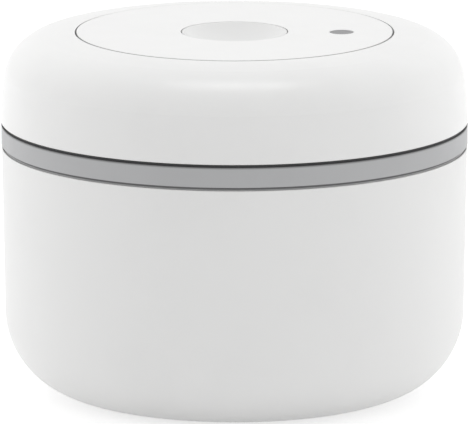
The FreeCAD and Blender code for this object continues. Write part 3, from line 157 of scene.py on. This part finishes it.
# Silicone and rubber
BLOOM_SCALE = 240.0
BLOOM_DETAIL = 6.0
BLOOM_ROUGHNESS = 0.65
BLOOM_TONES = (0.0, 1.0)
BLOOM_SHADES = (0.94, 1.05)
BLOOM_GLOSS_VARY = 0.07
SPECK_SCALE = 3600.0
SPECK_DETAIL = 2.0
SPECK_SHARE = 0.3
SPECK_RELIEF = 0.22
SPECK_DEPTH = 0.00003
GLOW_REACH = (0.0012, 0.0011, 0.0010)
GLOW_SCALE = 1.0

# Brushed steel: fine lines over broad ones, drawn out round the axis
BRUSH_STRETCH = 0.0011
BRUSH_SCALE = 5200.0
BRUSH_ROUGHNESS = 0.7
BRUSH_SHARE = 0.5
BRUSH_RELIEF = 0.25
BRUSH_DEPTH = 0.00002
BRUSH_TONES = (-0.1, 1.0)
BRUSH_SHADES = (0.86, 1.08)
BRUSH_GLOSS = (0.24, 0.40)
BROAD_BRUSH_SCALE = 620.0

# Small steel pieces
STAIN_SCALE = 900.0
STAIN_DETAIL = 5.0
STAIN_ROUGHNESS = 0.6
STAIN_TONES = (0.0, 1.0)
STAIN_SHADES = (0.84, 1.06)
SCRATCH_SCALE = 6800.0
SCRATCH_GLOSS_VARY = 0.08
SCRATCH_RELIEF = 0.15
SCRATCH_DEPTH = 0.00001

# Felt
FIBRE_SCALE = 1500.0
FIBRE_DETAIL = 8.0
FIBRE_ROUGHNESS = 0.72
FIBRE_RELIEF = 0.6
FIBRE_DEPTH = 0.00012
TUFT_SCALE = 300.0
TUFT_DETAIL = 4.0
TUFT_SHARE = 0.5
FELT_TONES = (0.0, 1.0)
FELT_SHADES = (0.8, 1.08)
FELT_GLOSS = (0.86, 0.98)
FELT_SHEEN = 0.3

# Painted shade in the seam round the top plate, whose lip reaches under the dome, and in the seams of the
# band
PLATE_LIP = 0.0026
PLATE_SHADE_WIDTH = 0.00015
PLATE_SHADE_SHARE = 0.7
BAND_SEAM = 0.0008
BAND_SHADE_HEIGHT = 0.0005
BAND_SHADE_FADE = 0.0001
BAND_SHADE_SHARE = 0.3
DOME_GAP = 0.00068
DOME_SHADE_FADE = 0.0005
DOME_SHADE_SHARE = 0.25

# Studio: the floor and the world have one strength as lights and another where they are seen
WHITE_LIGHT = (1, 1, 1, 1)
FLOOR_SIZE = 6.0
FLOOR_COLOUR = (0.66, 0.66, 0.66)
FLOOR_ROUGHNESS = 0.9
FLOOR_SPECULAR = 0.1
FLOOR_GLOW = 0.20
FLOOR_SEEN = 0.56
WORLD_LIGHT = 0.645
WORLD_WHITE = 1.0

# Soft boxes: angles in degrees and power in watts
LAMP_DISTANCE = 1.2
LAMPS = (
    dict(name="left_box", azimuth=-113.0, elevation=4.0, width=1.4, height=0.4, power=5.5),
    dict(name="right_box", azimuth=119.0, elevation=4.0, width=1.4, height=0.4, power=4.3),
    dict(name="front_box", azimuth=36.0, elevation=10.0, width=0.9, height=0.6, power=0.8),
    dict(name="top_box", azimuth=0.0, elevation=85.0, width=0.7, height=0.38, power=3.1, in_gloss=True),
    dict(name="rear_box", azimuth=180.0, elevation=52.0, width=2.2, height=0.9, power=2.9),
)

# A corner of an outline: its place, its rounding, the material from there on and the steps of its arc
Corner = namedtuple("Corner", "radius height rounding material steps", defaults=(0, 0, CORNER_STEPS))


def radius_of(node_name):
    """Radius of a node that is turned about the canister's axis."""
    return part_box(node_name)[1].x


def axis_of(node_name):
    """Where the upright axis of a node stands."""
    low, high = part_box(node_name)
    return (low.x + high.x) / 2, (low.y + high.y) / 2


def corner_arc(before, corner, after, radius, steps):
    """Points of the arc that rounds a corner of an outline."""
    inward = (Vector(before) - Vector(corner)).normalized()
    onward = (Vector(after) - Vector(corner)).normalized()
    half = inward.angle(onward) / 2
    reach = radius / math.tan(half)
    middle = Vector(corner) + (inward + onward).normalized() * (radius / math.sin(half))
    start = Vector(corner) + inward * reach - middle
    finish = Vector(corner) + onward * reach - middle
    turn = start.angle_signed(finish)
    points = []
    for step in range(steps + 1):
        angle = -turn * step / steps
        cosine = math.cos(angle)
        sine = math.sin(angle)
        points.append((
            middle.x + start.x * cosine - start.y * sine,
            middle.y + start.x * sine + start.y * cosine))
    return points


def eased(corners):
    """An outline with rounded corners, as points of (radius, height, material)."""
    bends = [Corner(*corner) for corner in corners]
    points = []
    for index, bend in enumerate(bends):
        if bend.rounding == 0:
            points.append((bend.radius, bend.height, bend.material))
            continue
        before = bends[index - 1]
        after = bends[(index + 1) % len(bends)]
        for spot in corner_arc(before[:2], bend[:2], after[:2], bend.rounding, bend.steps):
            points.append((*spot, bend.material))
    return points


def new_object(name, data):
    """Adds a mesh, a lamp or a camera to the scene."""
    thing = bpy.data.objects.new(name, data)
    bpy.context.scene.collection.objects.link(thing)
    return thing


def finished(name, shape):
    """Turns a bmesh into a smooth object whose sharp corners stay sharp."""
    bmesh.ops.recalc_face_normals(shape, faces=shape.faces[:])
    mesh = bpy.data.meshes.new(name)
    shape.to_mesh(mesh)
    shape.free()
    for face in mesh.polygons:
        face.use_smooth = True
    mesh.set_sharp_from_angle(angle=SHARP_ANGLE)
    return new_object(name, mesh)


def turned_shape(outline, around):
    """A closed turned bmesh about Z. The outline is a loop of (radius, height, material)."""
    shape = bmesh.new()
    rings = []
    for radius, height, _ in outline:
        if radius < TINY:
            rings.append([shape.verts.new((0, 0, height))])
            continue
        ring = []
        for step in range(around):
            angle = 2 * math.pi * step / around
            ring.append(shape.verts.new((radius * math.cos(angle), radius * math.sin(angle), height)))
        rings.append(ring)
    for index, ring in enumerate(rings):
        following = rings[(index + 1) % len(rings)]
        if len(ring) == 1 and len(following) == 1:
            continue
        for step in range(around):
            after = (step + 1) % around
            spots = [ring[step % len(ring)], ring[after % len(ring)],
                     following[after % len(following)], following[step % len(following)]]
            face = shape.faces.new(list(dict.fromkeys(spots)))
            face.material_index = outline[index][2]
    return shape


def turned(name, corners, around=AROUND, centre=(0.0, 0.0)):
    """A turned object with rounded corners, moved to its own axis."""
    shape = turned_shape(eased(corners), around)
    bmesh.ops.translate(shape, verts=shape.verts[:], vec=(*centre, 0))
    return finished(name, shape)


def wound_spring(name, centre_x, low, high, mean_radius, wire, turns):
    """A spring of one round wire, with its first and last turns drawn close."""
    end_rise = wire + SPRING_END_GAP
    rise = high - low - wire
    mid_pitch = (rise - 2 * end_rise) / (turns - 2)
    shape = bmesh.new()
    rings = []
    for step in range(turns * STEPS_PER_TURN + 1):
        turn = step / STEPS_PER_TURN
        climb = mid_pitch
        height = end_rise + mid_pitch * (turn - 1)
        if turn <= 1:
            climb = end_rise
            height = end_rise * turn
        if turn >= turns - 1:
            climb = end_rise
            height = rise - end_rise * (turns - turn)
        angle = 2 * math.pi * turn
        out = Vector((math.cos(angle), math.sin(angle), 0))
        along = Vector((-math.sin(angle), math.cos(angle), climb / (2 * math.pi * mean_radius)))
        up = out.cross(along.normalized())
        middle = Vector((centre_x, 0, low + wire / 2 + height)) + out * mean_radius
        ring = []
        for side in range(WIRE_SIDES):
            lean = 2 * math.pi * side / WIRE_SIDES
            outward = out * math.cos(lean) + up * math.sin(lean)
            ring.append(shape.verts.new(middle + outward * (wire / 2)))
        rings.append(ring)
    for ring, following in zip(rings, rings[1:]):
        for side in range(WIRE_SIDES):
            after = (side + 1) % WIRE_SIDES
            shape.faces.new((ring[side], ring[after], following[after], following[side]))
    shape.faces.new(rings[0])
    shape.faces.new(rings[-1])
    return finished(name, shape)


def new_material(name):
    """A node material, its node tree and its shader."""
    material = bpy.data.materials.new(name)
    material.use_nodes = True
    tree = material.node_tree
    return material, tree, tree.nodes["Principled BSDF"]


def coordinates(tree):
    """The piece's own coordinates, in metres."""
    return tree.nodes.new("ShaderNodeTexCoord").outputs["Object"]


def noise(tree, vector, scale, detail=NOISE_DETAIL, roughness=NOISE_ROUGHNESS):
    """A noise texture on the given coordinates."""
    texture = tree.nodes.new("ShaderNodeTexNoise")
    texture.inputs["Scale"].default_value = scale
    texture.inputs["Detail"].default_value = detail
    texture.inputs["Roughness"].default_value = roughness
    tree.links.new(vector, texture.inputs["Vector"])
    return texture.outputs["Fac"]


def computed(tree, operation, *parts):
    """The result of a math node. Each part is another node's output or a number."""
    node = tree.nodes.new("ShaderNodeMath")
    node.operation = operation
    for socket, part in zip(node.inputs, parts):
        if isinstance(part, bpy.types.NodeSocket):
            tree.links.new(part, socket)
        else:
            socket.default_value = part
    return node.outputs["Value"]


def added(tree, first, second, share):
    """The sum of two texture values, the second at a share."""
    return computed(tree, "MULTIPLY_ADD", second, share, first)


def ranged(tree, value, start, finish, low, high):
    """Goes from low to high, and no further, as a value goes from start to finish."""
    node = tree.nodes.new("ShaderNodeMapRange")
    node.inputs["From Min"].default_value = start
    node.inputs["From Max"].default_value = finish
    node.inputs["To Min"].default_value = low
    node.inputs["To Max"].default_value = high
    tree.links.new(value, node.inputs["Value"])
    return node.outputs["Result"]


def spread(tree, value, limits):
    """Spreads most of a texture's values between two limits."""
    return ranged(tree, value, TEXTURE_LOW, TEXTURE_HIGH, *limits)


def around_value(middle, vary):
    """Limits at equal distances from a middle value."""
    return middle - vary, middle + vary


def tinted(tree, shader, tone, colour, shades):
    """Colours a shader between two shades of a colour, by a tone from 0 to 1."""
    mix = tree.nodes.new("ShaderNodeMix")
    mix.data_type = "RGBA"
    for socket_name, shade in zip("AB", shades):
        mix.inputs[socket_name].default_value = (*(part * shade for part in colour), 1)
    tree.links.new(tone, mix.inputs["Factor"])
    tree.links.new(mix.outputs["Result"], shader.inputs["Base Color"])


def glossed(tree, shader, value, limits):
    """Lets a shader's roughness vary between two limits, by a texture's value."""
    tree.links.new(spread(tree, value, limits), shader.inputs["Roughness"])


def raised(tree, shader, value, strength, depth):
    """Bump from a texture's value."""
    bump = tree.nodes.new("ShaderNodeBump")
    bump.inputs["Strength"].default_value = strength
    bump.inputs["Distance"].default_value = depth
    tree.links.new(value, bump.inputs["Height"])
    tree.links.new(bump.outputs["Normal"], shader.inputs["Normal"])


def parts_of(tree, place):
    """The X, Y and Z of a place."""
    split = tree.nodes.new("ShaderNodeSeparateXYZ")
    tree.links.new(place, split.inputs["Vector"])
    return split.outputs


def place_from(tree, **parts):
    """A place with the given X, Y and Z, each 0 where it isn't given."""
    joined = tree.nodes.new("ShaderNodeCombineXYZ")
    for axis, part in parts.items():
        tree.links.new(part, joined.inputs[axis])
    return joined.outputs["Vector"]


def height_at(tree, place):
    """A place's height."""
    return parts_of(tree, place)["Z"]


def radius_at(tree, place):
    """A place's distance from the canister's axis."""
    along = parts_of(tree, place)
    reach = tree.nodes.new("ShaderNodeVectorMath")
    reach.operation = "LENGTH"
    tree.links.new(place_from(tree, X=along["X"], Y=along["Y"]), reach.inputs[0])
    return reach.outputs["Value"]


def away_from(level, measure):
    """A measure of how far a height or radius is from a level, to either side."""
    def distance(tree, place):
        past = computed(tree, "SUBTRACT", measure(tree, place), level)
        return computed(tree, "ABSOLUTE", past)
    return distance


def paint_seam_shade(material, measure, start, finish, share):
    """Paints shade into a finish: darkens it to a share of its colour where a seam would lie in shade.

    The shade begins where the measure is at start, and is full where it is at finish.
    """
    tree = material.node_tree
    base = tree.nodes["Principled BSDF"].inputs["Base Color"]
    shade = ranged(tree, measure(tree, coordinates(tree)), start, finish, 1.0, share)
    mix = tree.nodes.new("ShaderNodeMix")
    mix.data_type = "RGBA"
    mix.blend_type = "MULTIPLY"
    mix.inputs["Factor"].default_value = 1.0
    tree.links.new(base.links[0].from_socket, mix.inputs["A"])
    tree.links.new(shade, mix.inputs["B"])
    tree.links.new(mix.outputs["Result"], base)


def moulded(name, colour, roughness, vary=CLOUD_VARY, grain=GRAIN_SCALE, relief=GRAIN_RELIEF,
            depth=GRAIN_DEPTH):
    """Moulded plastic or a sprayed coat: cloudy tone, fine grain, and gloss that wanders a little."""
    material, tree, shader = new_material(name)
    place = coordinates(tree)
    clouds = noise(tree, place, CLOUD_SCALE, CLOUD_DETAIL)
    fine = noise(tree, place, grain, GRAIN_DETAIL)
    tone = spread(tree, added(tree, clouds, fine, GRAIN_SHARE), CLOUD_TONES)
    tinted(tree, shader, tone, colour, around_value(1, vary))
    gloss = noise(tree, place, GLOSS_SCALE, GLOSS_DETAIL)
    glossed(tree, shader, gloss, around_value(roughness, GLOSS_VARY))
    raised(tree, shader, fine, relief, depth)
    return material


def soft_rubber(name, colour, roughness, glow=0.0):
    """Silicone or rubber: a fine bloom on the skin and a little light inside the pale ones."""
    material, tree, shader = new_material(name)
    place = coordinates(tree)
    bloom = noise(tree, place, BLOOM_SCALE, BLOOM_DETAIL, BLOOM_ROUGHNESS)
    specks = noise(tree, place, SPECK_SCALE, SPECK_DETAIL)
    tone = spread(tree, added(tree, bloom, specks, SPECK_SHARE), BLOOM_TONES)
    tinted(tree, shader, tone, colour, BLOOM_SHADES)
    glossed(tree, shader, bloom, around_value(roughness, BLOOM_GLOSS_VARY))
    shader.inputs["Subsurface Weight"].default_value = glow
    shader.inputs["Subsurface Radius"].default_value = GLOW_REACH
    shader.inputs["Subsurface Scale"].default_value = GLOW_SCALE
    raised(tree, shader, specks, SPECK_RELIEF, SPECK_DEPTH)
    return material


def brushed_steel(name, colour):
    """Bare steel brushed round the canister's axis: fine rings that waver along their length."""
    material, tree, shader = new_material(name)
    place = coordinates(tree)
    along = parts_of(tree, place)
    angle = computed(tree, "ARCTAN2", along["Y"], along["X"])
    slow = computed(tree, "MULTIPLY", angle, BRUSH_STRETCH)
    rings = place_from(tree, X=slow, Y=radius_at(tree, place), Z=along["Z"])
    lines = noise(tree, rings, BRUSH_SCALE, roughness=BRUSH_ROUGHNESS)
    broad = noise(tree, rings, BROAD_BRUSH_SCALE)
    tone = spread(tree, added(tree, broad, lines, BRUSH_SHARE), BRUSH_TONES)
    tinted(tree, shader, tone, colour, BRUSH_SHADES)
    glossed(tree, shader, lines, BRUSH_GLOSS)
    shader.inputs["Metallic"].default_value = 1.0
    raised(tree, shader, lines, BRUSH_RELIEF, BRUSH_DEPTH)
    return material


def plain_steel(name, colour, roughness):
    """Small steel pieces: a drawn or plated skin with faint stains."""
    material, tree, shader = new_material(name)
    place = coordinates(tree)
    stains = noise(tree, place, STAIN_SCALE, STAIN_DETAIL, STAIN_ROUGHNESS)
    scratches = noise(tree, place, SCRATCH_SCALE)
    tinted(tree, shader, spread(tree, stains, STAIN_TONES), colour, STAIN_SHADES)
    glossed(tree, shader, scratches, around_value(roughness, SCRATCH_GLOSS_VARY))
    shader.inputs["Metallic"].default_value = 1.0
    raised(tree, shader, scratches, SCRATCH_RELIEF, SCRATCH_DEPTH)
    return material


def felted(name, colour):
    """Pressed felt: a tangle of fibres in two sizes, with a soft sheen."""
    material, tree, shader = new_material(name)
    place = coordinates(tree)
    tangle = noise(tree, place, FIBRE_SCALE, FIBRE_DETAIL, FIBRE_ROUGHNESS)
    tufts = noise(tree, place, TUFT_SCALE, TUFT_DETAIL)
    tone = spread(tree, added(tree, tangle, tufts, TUFT_SHARE), FELT_TONES)
    tinted(tree, shader, tone, colour, FELT_SHADES)
    glossed(tree, shader, tufts, FELT_GLOSS)
    shader.inputs["Sheen Weight"].default_value = FELT_SHEEN
    raised(tree, shader, tangle, FIBRE_RELIEF, FIBRE_DEPTH)
    return material


# Finishes
WHITE = (0.85, 0.85, 0.845)
WHITE_ROUGHNESS = 0.32
WHITE_COAT = moulded("white_coat", (0.845, 0.845, 0.84), roughness=0.50,
                     grain=3400.0, relief=0.20, depth=0.00003)
WHITE_PLASTIC = moulded("white_plastic", WHITE, WHITE_ROUGHNESS)
# A copy of the white plastic that takes painted shade at the plate's edge, below
PLATE_PLASTIC = moulded("plate_plastic", WHITE, WHITE_ROUGHNESS)
# A darker copy of the white plastic: painted shade for the button's dish
SHADED_BUTTON_PLASTIC = moulded("shaded_button_plastic", (0.765, 0.765, 0.76), roughness=0.34)
GREY_PLASTIC = moulded("grey_plastic", (0.45, 0.453, 0.46), roughness=0.48, vary=0.025)
DOT_PLASTIC = moulded("dot_plastic", (0.235, 0.235, 0.24), roughness=0.45, vary=0.03)
BLACK_PLASTIC = moulded("black_plastic", (0.022, 0.022, 0.023), roughness=0.5, vary=0.10)
PUMP_PLASTIC = moulded("pump_plastic", (0.62, 0.63, 0.64), roughness=0.38, vary=0.02, relief=0.08)
BEARING_PLASTIC = moulded("bearing_plastic", (0.78, 0.77, 0.72), roughness=0.30, vary=0.02, relief=0.06)
GREEN_PLASTIC = moulded("green_plastic", (0.10, 0.48, 0.16), roughness=0.32, vary=0.04, relief=0.06)
GREY_SILICONE = soft_rubber("grey_silicone", (0.42, 0.42, 0.42), roughness=0.62, glow=0.05)
CLEAR_SILICONE = soft_rubber("clear_silicone", (0.72, 0.73, 0.73), roughness=0.42, glow=0.35)
BLACK_RUBBER = soft_rubber("black_rubber", (0.035, 0.035, 0.036), roughness=0.55)
FILTER_FELT = felted("filter_felt", (0.70, 0.70, 0.67))
BARE_STEEL = brushed_steel("bare_steel", (0.62, 0.61, 0.60))
SCREW_STEEL = plain_steel("screw_steel", (0.56, 0.56, 0.58), roughness=0.30)
SPRING_STEEL = plain_steel("spring_steel", (0.60, 0.60, 0.61), roughness=0.26)

# Painted shade at the top plate's edge, on the lid's neck under the band and along the band's upper edge
PLATE_RADIUS = radius_of("top_plate") - PLATE_LIP
NECK_SHADE_HALF = BAND_SHADE_HEIGHT / 2
NECK_SHADE_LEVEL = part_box("canister_body")[1].z + BAND_SEAM - NECK_SHADE_HALF
BAND_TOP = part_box("lid_shell")[0].z - DOME_GAP
# Painted shade in a narrow ring at the plate's edge, which darkens the seam round the plate
paint_seam_shade(PLATE_PLASTIC, away_from(PLATE_RADIUS, radius_at), PLATE_SHADE_WIDTH, 0.0, PLATE_SHADE_SHARE)
# Painted shadow on the lid's neck under the band's overhang, in the gap above the canister's rim
paint_seam_shade(GREY_PLASTIC, away_from(NECK_SHADE_LEVEL, height_at),
         NECK_SHADE_HALF + BAND_SHADE_FADE, NECK_SHADE_HALF, BAND_SHADE_SHARE)
# Painted shadow along the band's upper edge, under the dome's lower edge
paint_seam_shade(GREY_PLASTIC, away_from(BAND_TOP, height_at), DOME_SHADE_FADE, 0.0, DOME_SHADE_SHARE)

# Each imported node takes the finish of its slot, apart from two that have their own
FINISHES = {
    "white_coat": WHITE_COAT, "white_plastic": WHITE_PLASTIC, "grey_plastic": GREY_PLASTIC,
    "dot_plastic": DOT_PLASTIC, "black_plastic": BLACK_PLASTIC, "pump_plastic": PUMP_PLASTIC,
    "bearing_plastic": BEARING_PLASTIC, "green_plastic": GREEN_PLASTIC, "grey_silicone": GREY_SILICONE,
    "clear_silicone": CLEAR_SILICONE, "black_rubber": BLACK_RUBBER, "filter_felt": FILTER_FELT,
    "screw_steel": SCREW_STEEL, "spring_steel": SPRING_STEEL,
}
OWN_FINISHES = {"release_button": SHADED_BUTTON_PLASTIC, "top_plate": PLATE_PLASTIC}
SLOTS = {part["node"]: part["material_slot"] for part in frame["record"]["subparts"]}
for node_name, node in nodes.items():
    node.data.materials.clear()
    node.data.materials.append(OWN_FINISHES.get(node_name, FINISHES[SLOTS[node_name]]))


def dressed(thing, node_name, *materials):
    """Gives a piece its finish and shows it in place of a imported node."""
    for material in materials:
        thing.data.materials.append(material)
    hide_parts(node_name)


def placed(thing, body, node_name, *materials):
    """Sets a piece on a body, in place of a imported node."""
    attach(thing, body)
    dressed(thing, node_name, *materials)


def make_canister():
    """The steel cup: coated outside, bare and brushed inside and on its rim."""
    low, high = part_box("canister_body")
    rim = radius_of("lid_shell") - DOME_OVERHANG
    foot = rim - STEEL_TAPER
    base = low.z
    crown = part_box("base_pad")[1].z
    recess = radius_of("base_pad") + PAD_CLEARANCE
    coat = 0
    bare = 1
    corners = [
        (0, crown, 0, coat),
        (recess, crown, 0, coat),
        (recess, base, FOOT_EDGE_ROUND, coat),
        (foot, base, STEEL_CORNER, coat, BIG_CORNER_STEPS),
        (rim, high.z, STEEL_RIM_ROUND, coat),
        (rim - STEEL_RIM_COAT, high.z, 0, bare),
        (rim - STEEL_WALL, high.z, STEEL_RIM_ROUND, bare),
        (foot - STEEL_WALL, base + STEEL_WALL, STEEL_CORNER - STEEL_WALL, bare, BIG_CORNER_STEPS),
        (recess + STEEL_WALL, base + STEEL_WALL, STEEL_BEND_ROUND, bare),
        (recess - STEEL_WALL, crown + STEEL_WALL, STEEL_BEND_ROUND, bare),
        (0, crown + STEEL_WALL, 0, bare),
    ]
    placed(turned("steel_cup", corners), "canister", "canister_body", WHITE_COAT, BARE_STEEL)


def make_foot_pad():
    """The soft pad in the foot, with softened edges and two rings pressed into its underside."""
    low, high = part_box("base_pad")
    radius = radius_of("base_pad")
    groove_top = low.z + PAD_GROOVE_DEPTH
    corners = [(0, low.z)]
    for middle, width in PAD_GROOVES:
        half_mouth = width / 2
        half_top = half_mouth * PAD_GROOVE_TOP_SHARE
        corners.append((middle - half_mouth, low.z, PAD_GROOVE_ROUND))
        corners.append((middle - half_top, groove_top, PAD_GROOVE_ROUND))
        corners.append((middle + half_top, groove_top, PAD_GROOVE_ROUND))
        corners.append((middle + half_mouth, low.z, PAD_GROOVE_ROUND))
    corners.append((radius, low.z, PAD_EDGE_ROUND))
    corners.append((radius, high.z, FOOT_EDGE_ROUND))
    corners.append((0, high.z))
    placed(turned("foot_pad", corners), "canister", "base_pad", GREY_SILICONE)


def make_lid_seal():
    """The gasket round the lid's plug, with two soft lips."""
    low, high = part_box("lid_gasket")
    inner = GASKET_GROOVE_INNER
    back = inner + GASKET_BACK
    upper_tip = radius_of("lid_gasket")
    lower_tip = upper_tip - GASKET_ROUND / 2
    lower_top = low.z + GASKET_LIP_HEIGHT
    upper_root = high.z - GASKET_LIP_HEIGHT
    corners = [
        (inner, low.z, GASKET_ROUND),
        (back, low.z, GASKET_ROUND),
        (lower_tip, lower_top - GASKET_LIP_EDGE, GASKET_ROUND),
        (lower_tip, lower_top, GASKET_ROUND),
        (back, lower_top, GASKET_ROUND),
        (back, upper_root, GASKET_ROUND),
        (upper_tip, high.z - GASKET_LIP_EDGE, GASKET_ROUND),
        (upper_tip, high.z, GASKET_ROUND),
        (inner, high.z, GASKET_ROUND),
    ]
    placed(turned("lid_seal", corners), "lid", "lid_gasket", CLEAR_SILICONE)


def make_piston_seals():
    """The two pistons' cup seals, turned on their barrels' axes, which lie along Y."""
    for side in ("right", "left"):
        node_name = f"piston_seal_{side}"
        low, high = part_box(node_name)
        outer = (high.x - low.x) / 2
        length = high.y - low.y
        lip = outer - SEAL_LIP
        core_lip = SEAL_CORE + SEAL_LIP
        corners = [
            (SEAL_CORE, 0, SEAL_ROUND), (core_lip, 0, SEAL_ROUND),
            (core_lip, SEAL_CUP, SEAL_ROUND), (lip, SEAL_CUP, SEAL_ROUND),
            (lip, 0, SEAL_ROUND), (outer, 0, SEAL_ROUND),
            (outer, length, SEAL_ROUND), (SEAL_CORE, length, SEAL_ROUND),
        ]
        shape = turned_shape(eased(corners), AROUND_SMALL)
        facing = 1 if side == "right" else -1
        start = low.y if side == "right" else high.y
        for spot in shape.verts:
            across, aside, depth = spot.co
            spot.co = ((low.x + high.x) / 2 + across, start + facing * depth, (low.z + high.z) / 2 + aside)
        seal = finished(f"cup_seal_{side}", shape)
        placed(seal, f"piston_{side}", node_name, BLACK_RUBBER)


def make_inlet_valves():
    """The two duckbill valves under the barrels."""
    for side in ("right", "left"):
        node_name = f"inlet_valve_{side}"
        low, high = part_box(node_name)
        flange = (high.x - low.x) / 2
        flange_top = low.z + VALVE_FLANGE
        corners = [
            (VALVE_BILL_INSIDE, low.z, VALVE_ROUND), (flange, low.z, VALVE_ROUND),
            (flange, flange_top, VALVE_ROUND), (VALVE_BILL, flange_top, VALVE_ROUND),
            (VALVE_TIP, high.z, VALVE_ROUND), (VALVE_SLIT, high.z),
            (VALVE_SLIT, high.z - VALVE_SKIN), (VALVE_BILL_INSIDE, flange_top),
        ]
        bill = turned(f"duckbill_{side}", corners, AROUND_SMALL, axis_of(node_name))
        placed(bill, "lid", node_name, CLEAR_SILICONE)


def make_release_washer():
    """The washer on the release valve's stem."""
    low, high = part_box("release_seal")
    outer = radius_of("release_seal")
    corners = [
        (STEM_SOCKET, low.z, WASHER_ROUND), (outer, low.z, WASHER_ROUND),
        (outer, high.z, WASHER_ROUND), (STEM_SOCKET, high.z, WASHER_ROUND),
    ]
    placed(turned("valve_washer", corners, AROUND_SMALL), "button", "release_seal", BLACK_RUBBER)


def make_felt():
    """The felt disc behind the slotted cap."""
    low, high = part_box("filter_disc")
    radius = radius_of("filter_disc")
    corners = [(0, low.z), (radius, low.z, FELT_ROUND), (radius, high.z, FELT_ROUND), (0, high.z)]
    placed(turned("felt_disc", corners, AROUND_SMALL), "lid", "filter_disc", FILTER_FELT)


def make_diaphragm():
    """The indicator's hat-shaped diaphragm."""
    low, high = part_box("indicator_diaphragm")
    centre = axis_of("indicator_diaphragm")
    outer = (high.x - low.x) / 2
    rim_top = low.z + DIAPHRAGM_RIM
    crown_inside = high.z - DIAPHRAGM_SKIN
    corners = [
        (0, crown_inside), (DIAPHRAGM_CROWN - DIAPHRAGM_SKIN, crown_inside),
        (DIAPHRAGM_CROWN, low.z), (outer, low.z, DIAPHRAGM_ROUND), (outer, rim_top, DIAPHRAGM_ROUND),
        (DIAPHRAGM_CROWN + DIAPHRAGM_SKIN, rim_top, DIAPHRAGM_ROUND),
        (DIAPHRAGM_CROWN, high.z, DIAPHRAGM_ROUND), (0, high.z),
    ]
    hat = turned("indicator_hat", corners, AROUND_SMALL, centre)
    dressed(hat, "indicator_diaphragm", CLEAR_SILICONE)
    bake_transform(hat)


def make_springs():
    """The springs under the button and under the indicator."""
    kinds = (
        ("release_spring", "valve_spring", "button_press", RELEASE_WIRE, RELEASE_TURNS),
        ("indicator_spring", "indicator_coil", "indicator_drop", INDICATOR_WIRE, INDICATOR_TURNS),
    )
    for node_name, name, joint, wire, turns in kinds:
        low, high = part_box(node_name)
        centre_x = axis_of(node_name)[0]
        mean_radius = (high.y - low.y) / 2 - wire / 2
        spring = wound_spring(name, centre_x, low.z, high.z, mean_radius, wire, turns)
        placed(spring, "lid", node_name, SPRING_STEEL)
        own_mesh(spring)


def seen_rays(tree):
    """One for the rays that see the background: from the camera, off gloss or through glass."""
    path = tree.nodes.new("ShaderNodeLightPath").outputs
    direct = computed(tree, "MAXIMUM", path["Is Camera Ray"], path["Is Glossy Ray"])
    return computed(tree, "MAXIMUM", direct, path["Is Transmission Ray"])


def make_floor():
    """A pale floor that shows white to the camera and keeps the canister's shadow."""
    half = FLOOR_SIZE / 2
    mesh = bpy.data.meshes.new("floor")
    corners = [(-half, -half, 0), (half, -half, 0), (half, half, 0), (-half, half, 0)]
    mesh.from_pydata(corners, [], [range(len(corners))])
    floor = new_object("floor", mesh)
    material, tree, shader = new_material("pale_floor")
    shader.inputs["Base Color"].default_value = (*FLOOR_COLOUR, 1)
    shader.inputs["Roughness"].default_value = FLOOR_ROUGHNESS
    shader.inputs["Specular IOR Level"].default_value = FLOOR_SPECULAR
    shader.inputs["Emission Color"].default_value = WHITE_LIGHT
    glow = ranged(tree, seen_rays(tree), 0.0, 1.0, FLOOR_GLOW, FLOOR_SEEN)
    tree.links.new(glow, shader.inputs["Emission Strength"])
    mesh.materials.append(material)


def make_world():
    """Even light from all round, and white where the camera sees past the floor."""
    world = bpy.data.worlds.new("studio")
    bpy.context.scene.world = world
    world.use_nodes = True
    tree = world.node_tree
    background = tree.nodes["Background"]
    background.inputs["Color"].default_value = WHITE_LIGHT
    strength = ranged(tree, seen_rays(tree), 0.0, 1.0, WORLD_LIGHT, WORLD_WHITE)
    tree.links.new(strength, background.inputs["Strength"])


def aimed(name, data, azimuth, elevation, distance):
    """Adds a lamp or camera that looks at the canister. Azimuth 0 is the front, and 90 the right."""
    turn = math.radians(azimuth)
    rise = math.radians(elevation)
    level = math.cos(rise)
    away = Vector((math.sin(turn) * level, -math.cos(turn) * level, math.sin(rise)))
    thing = new_object(name, data)
    thing.location = CAMERA_TARGET + away * distance
    thing.rotation_mode = "QUATERNION"
    thing.rotation_quaternion = away.to_track_quat("Z", "Y")
    return thing


def add_lamp(name, azimuth, elevation, width, height, power, in_gloss=False):
    """A soft box that faces the canister. Gloss shows it only where asked."""
    lamp = bpy.data.lights.new(name, "AREA")
    lamp.shape = "RECTANGLE"
    lamp.size = width
    lamp.size_y = height
    lamp.energy = power
    aimed(name, lamp, azimuth, elevation, LAMP_DISTANCE).visible_glossy = in_gloss


def make_camera():
    """The camera at the photograph's angle."""
    camera = bpy.data.cameras.new("camera")
    camera.sensor_width = SENSOR_WIDTH_MM
    camera.lens = FOCAL_PIXELS * SENSOR_WIDTH_MM / IMAGE_WIDTH_PIXELS
    camera.clip_end = CAMERA_FAR
    bpy.context.scene.camera = aimed(
        "camera", camera, CAMERA_AZIMUTH, CAMERA_ELEVATION, CAMERA_DISTANCE)


make_canister()
make_foot_pad()
make_lid_seal()
make_piston_seals()
make_inlet_valves()
make_release_washer()
make_felt()
make_diaphragm()
make_springs()
make_floor()
make_world()
for lamp_values in LAMPS:
    add_lamp(**lamp_values)
make_camera()

bpy.context.scene.view_settings.view_transform = "Standard"
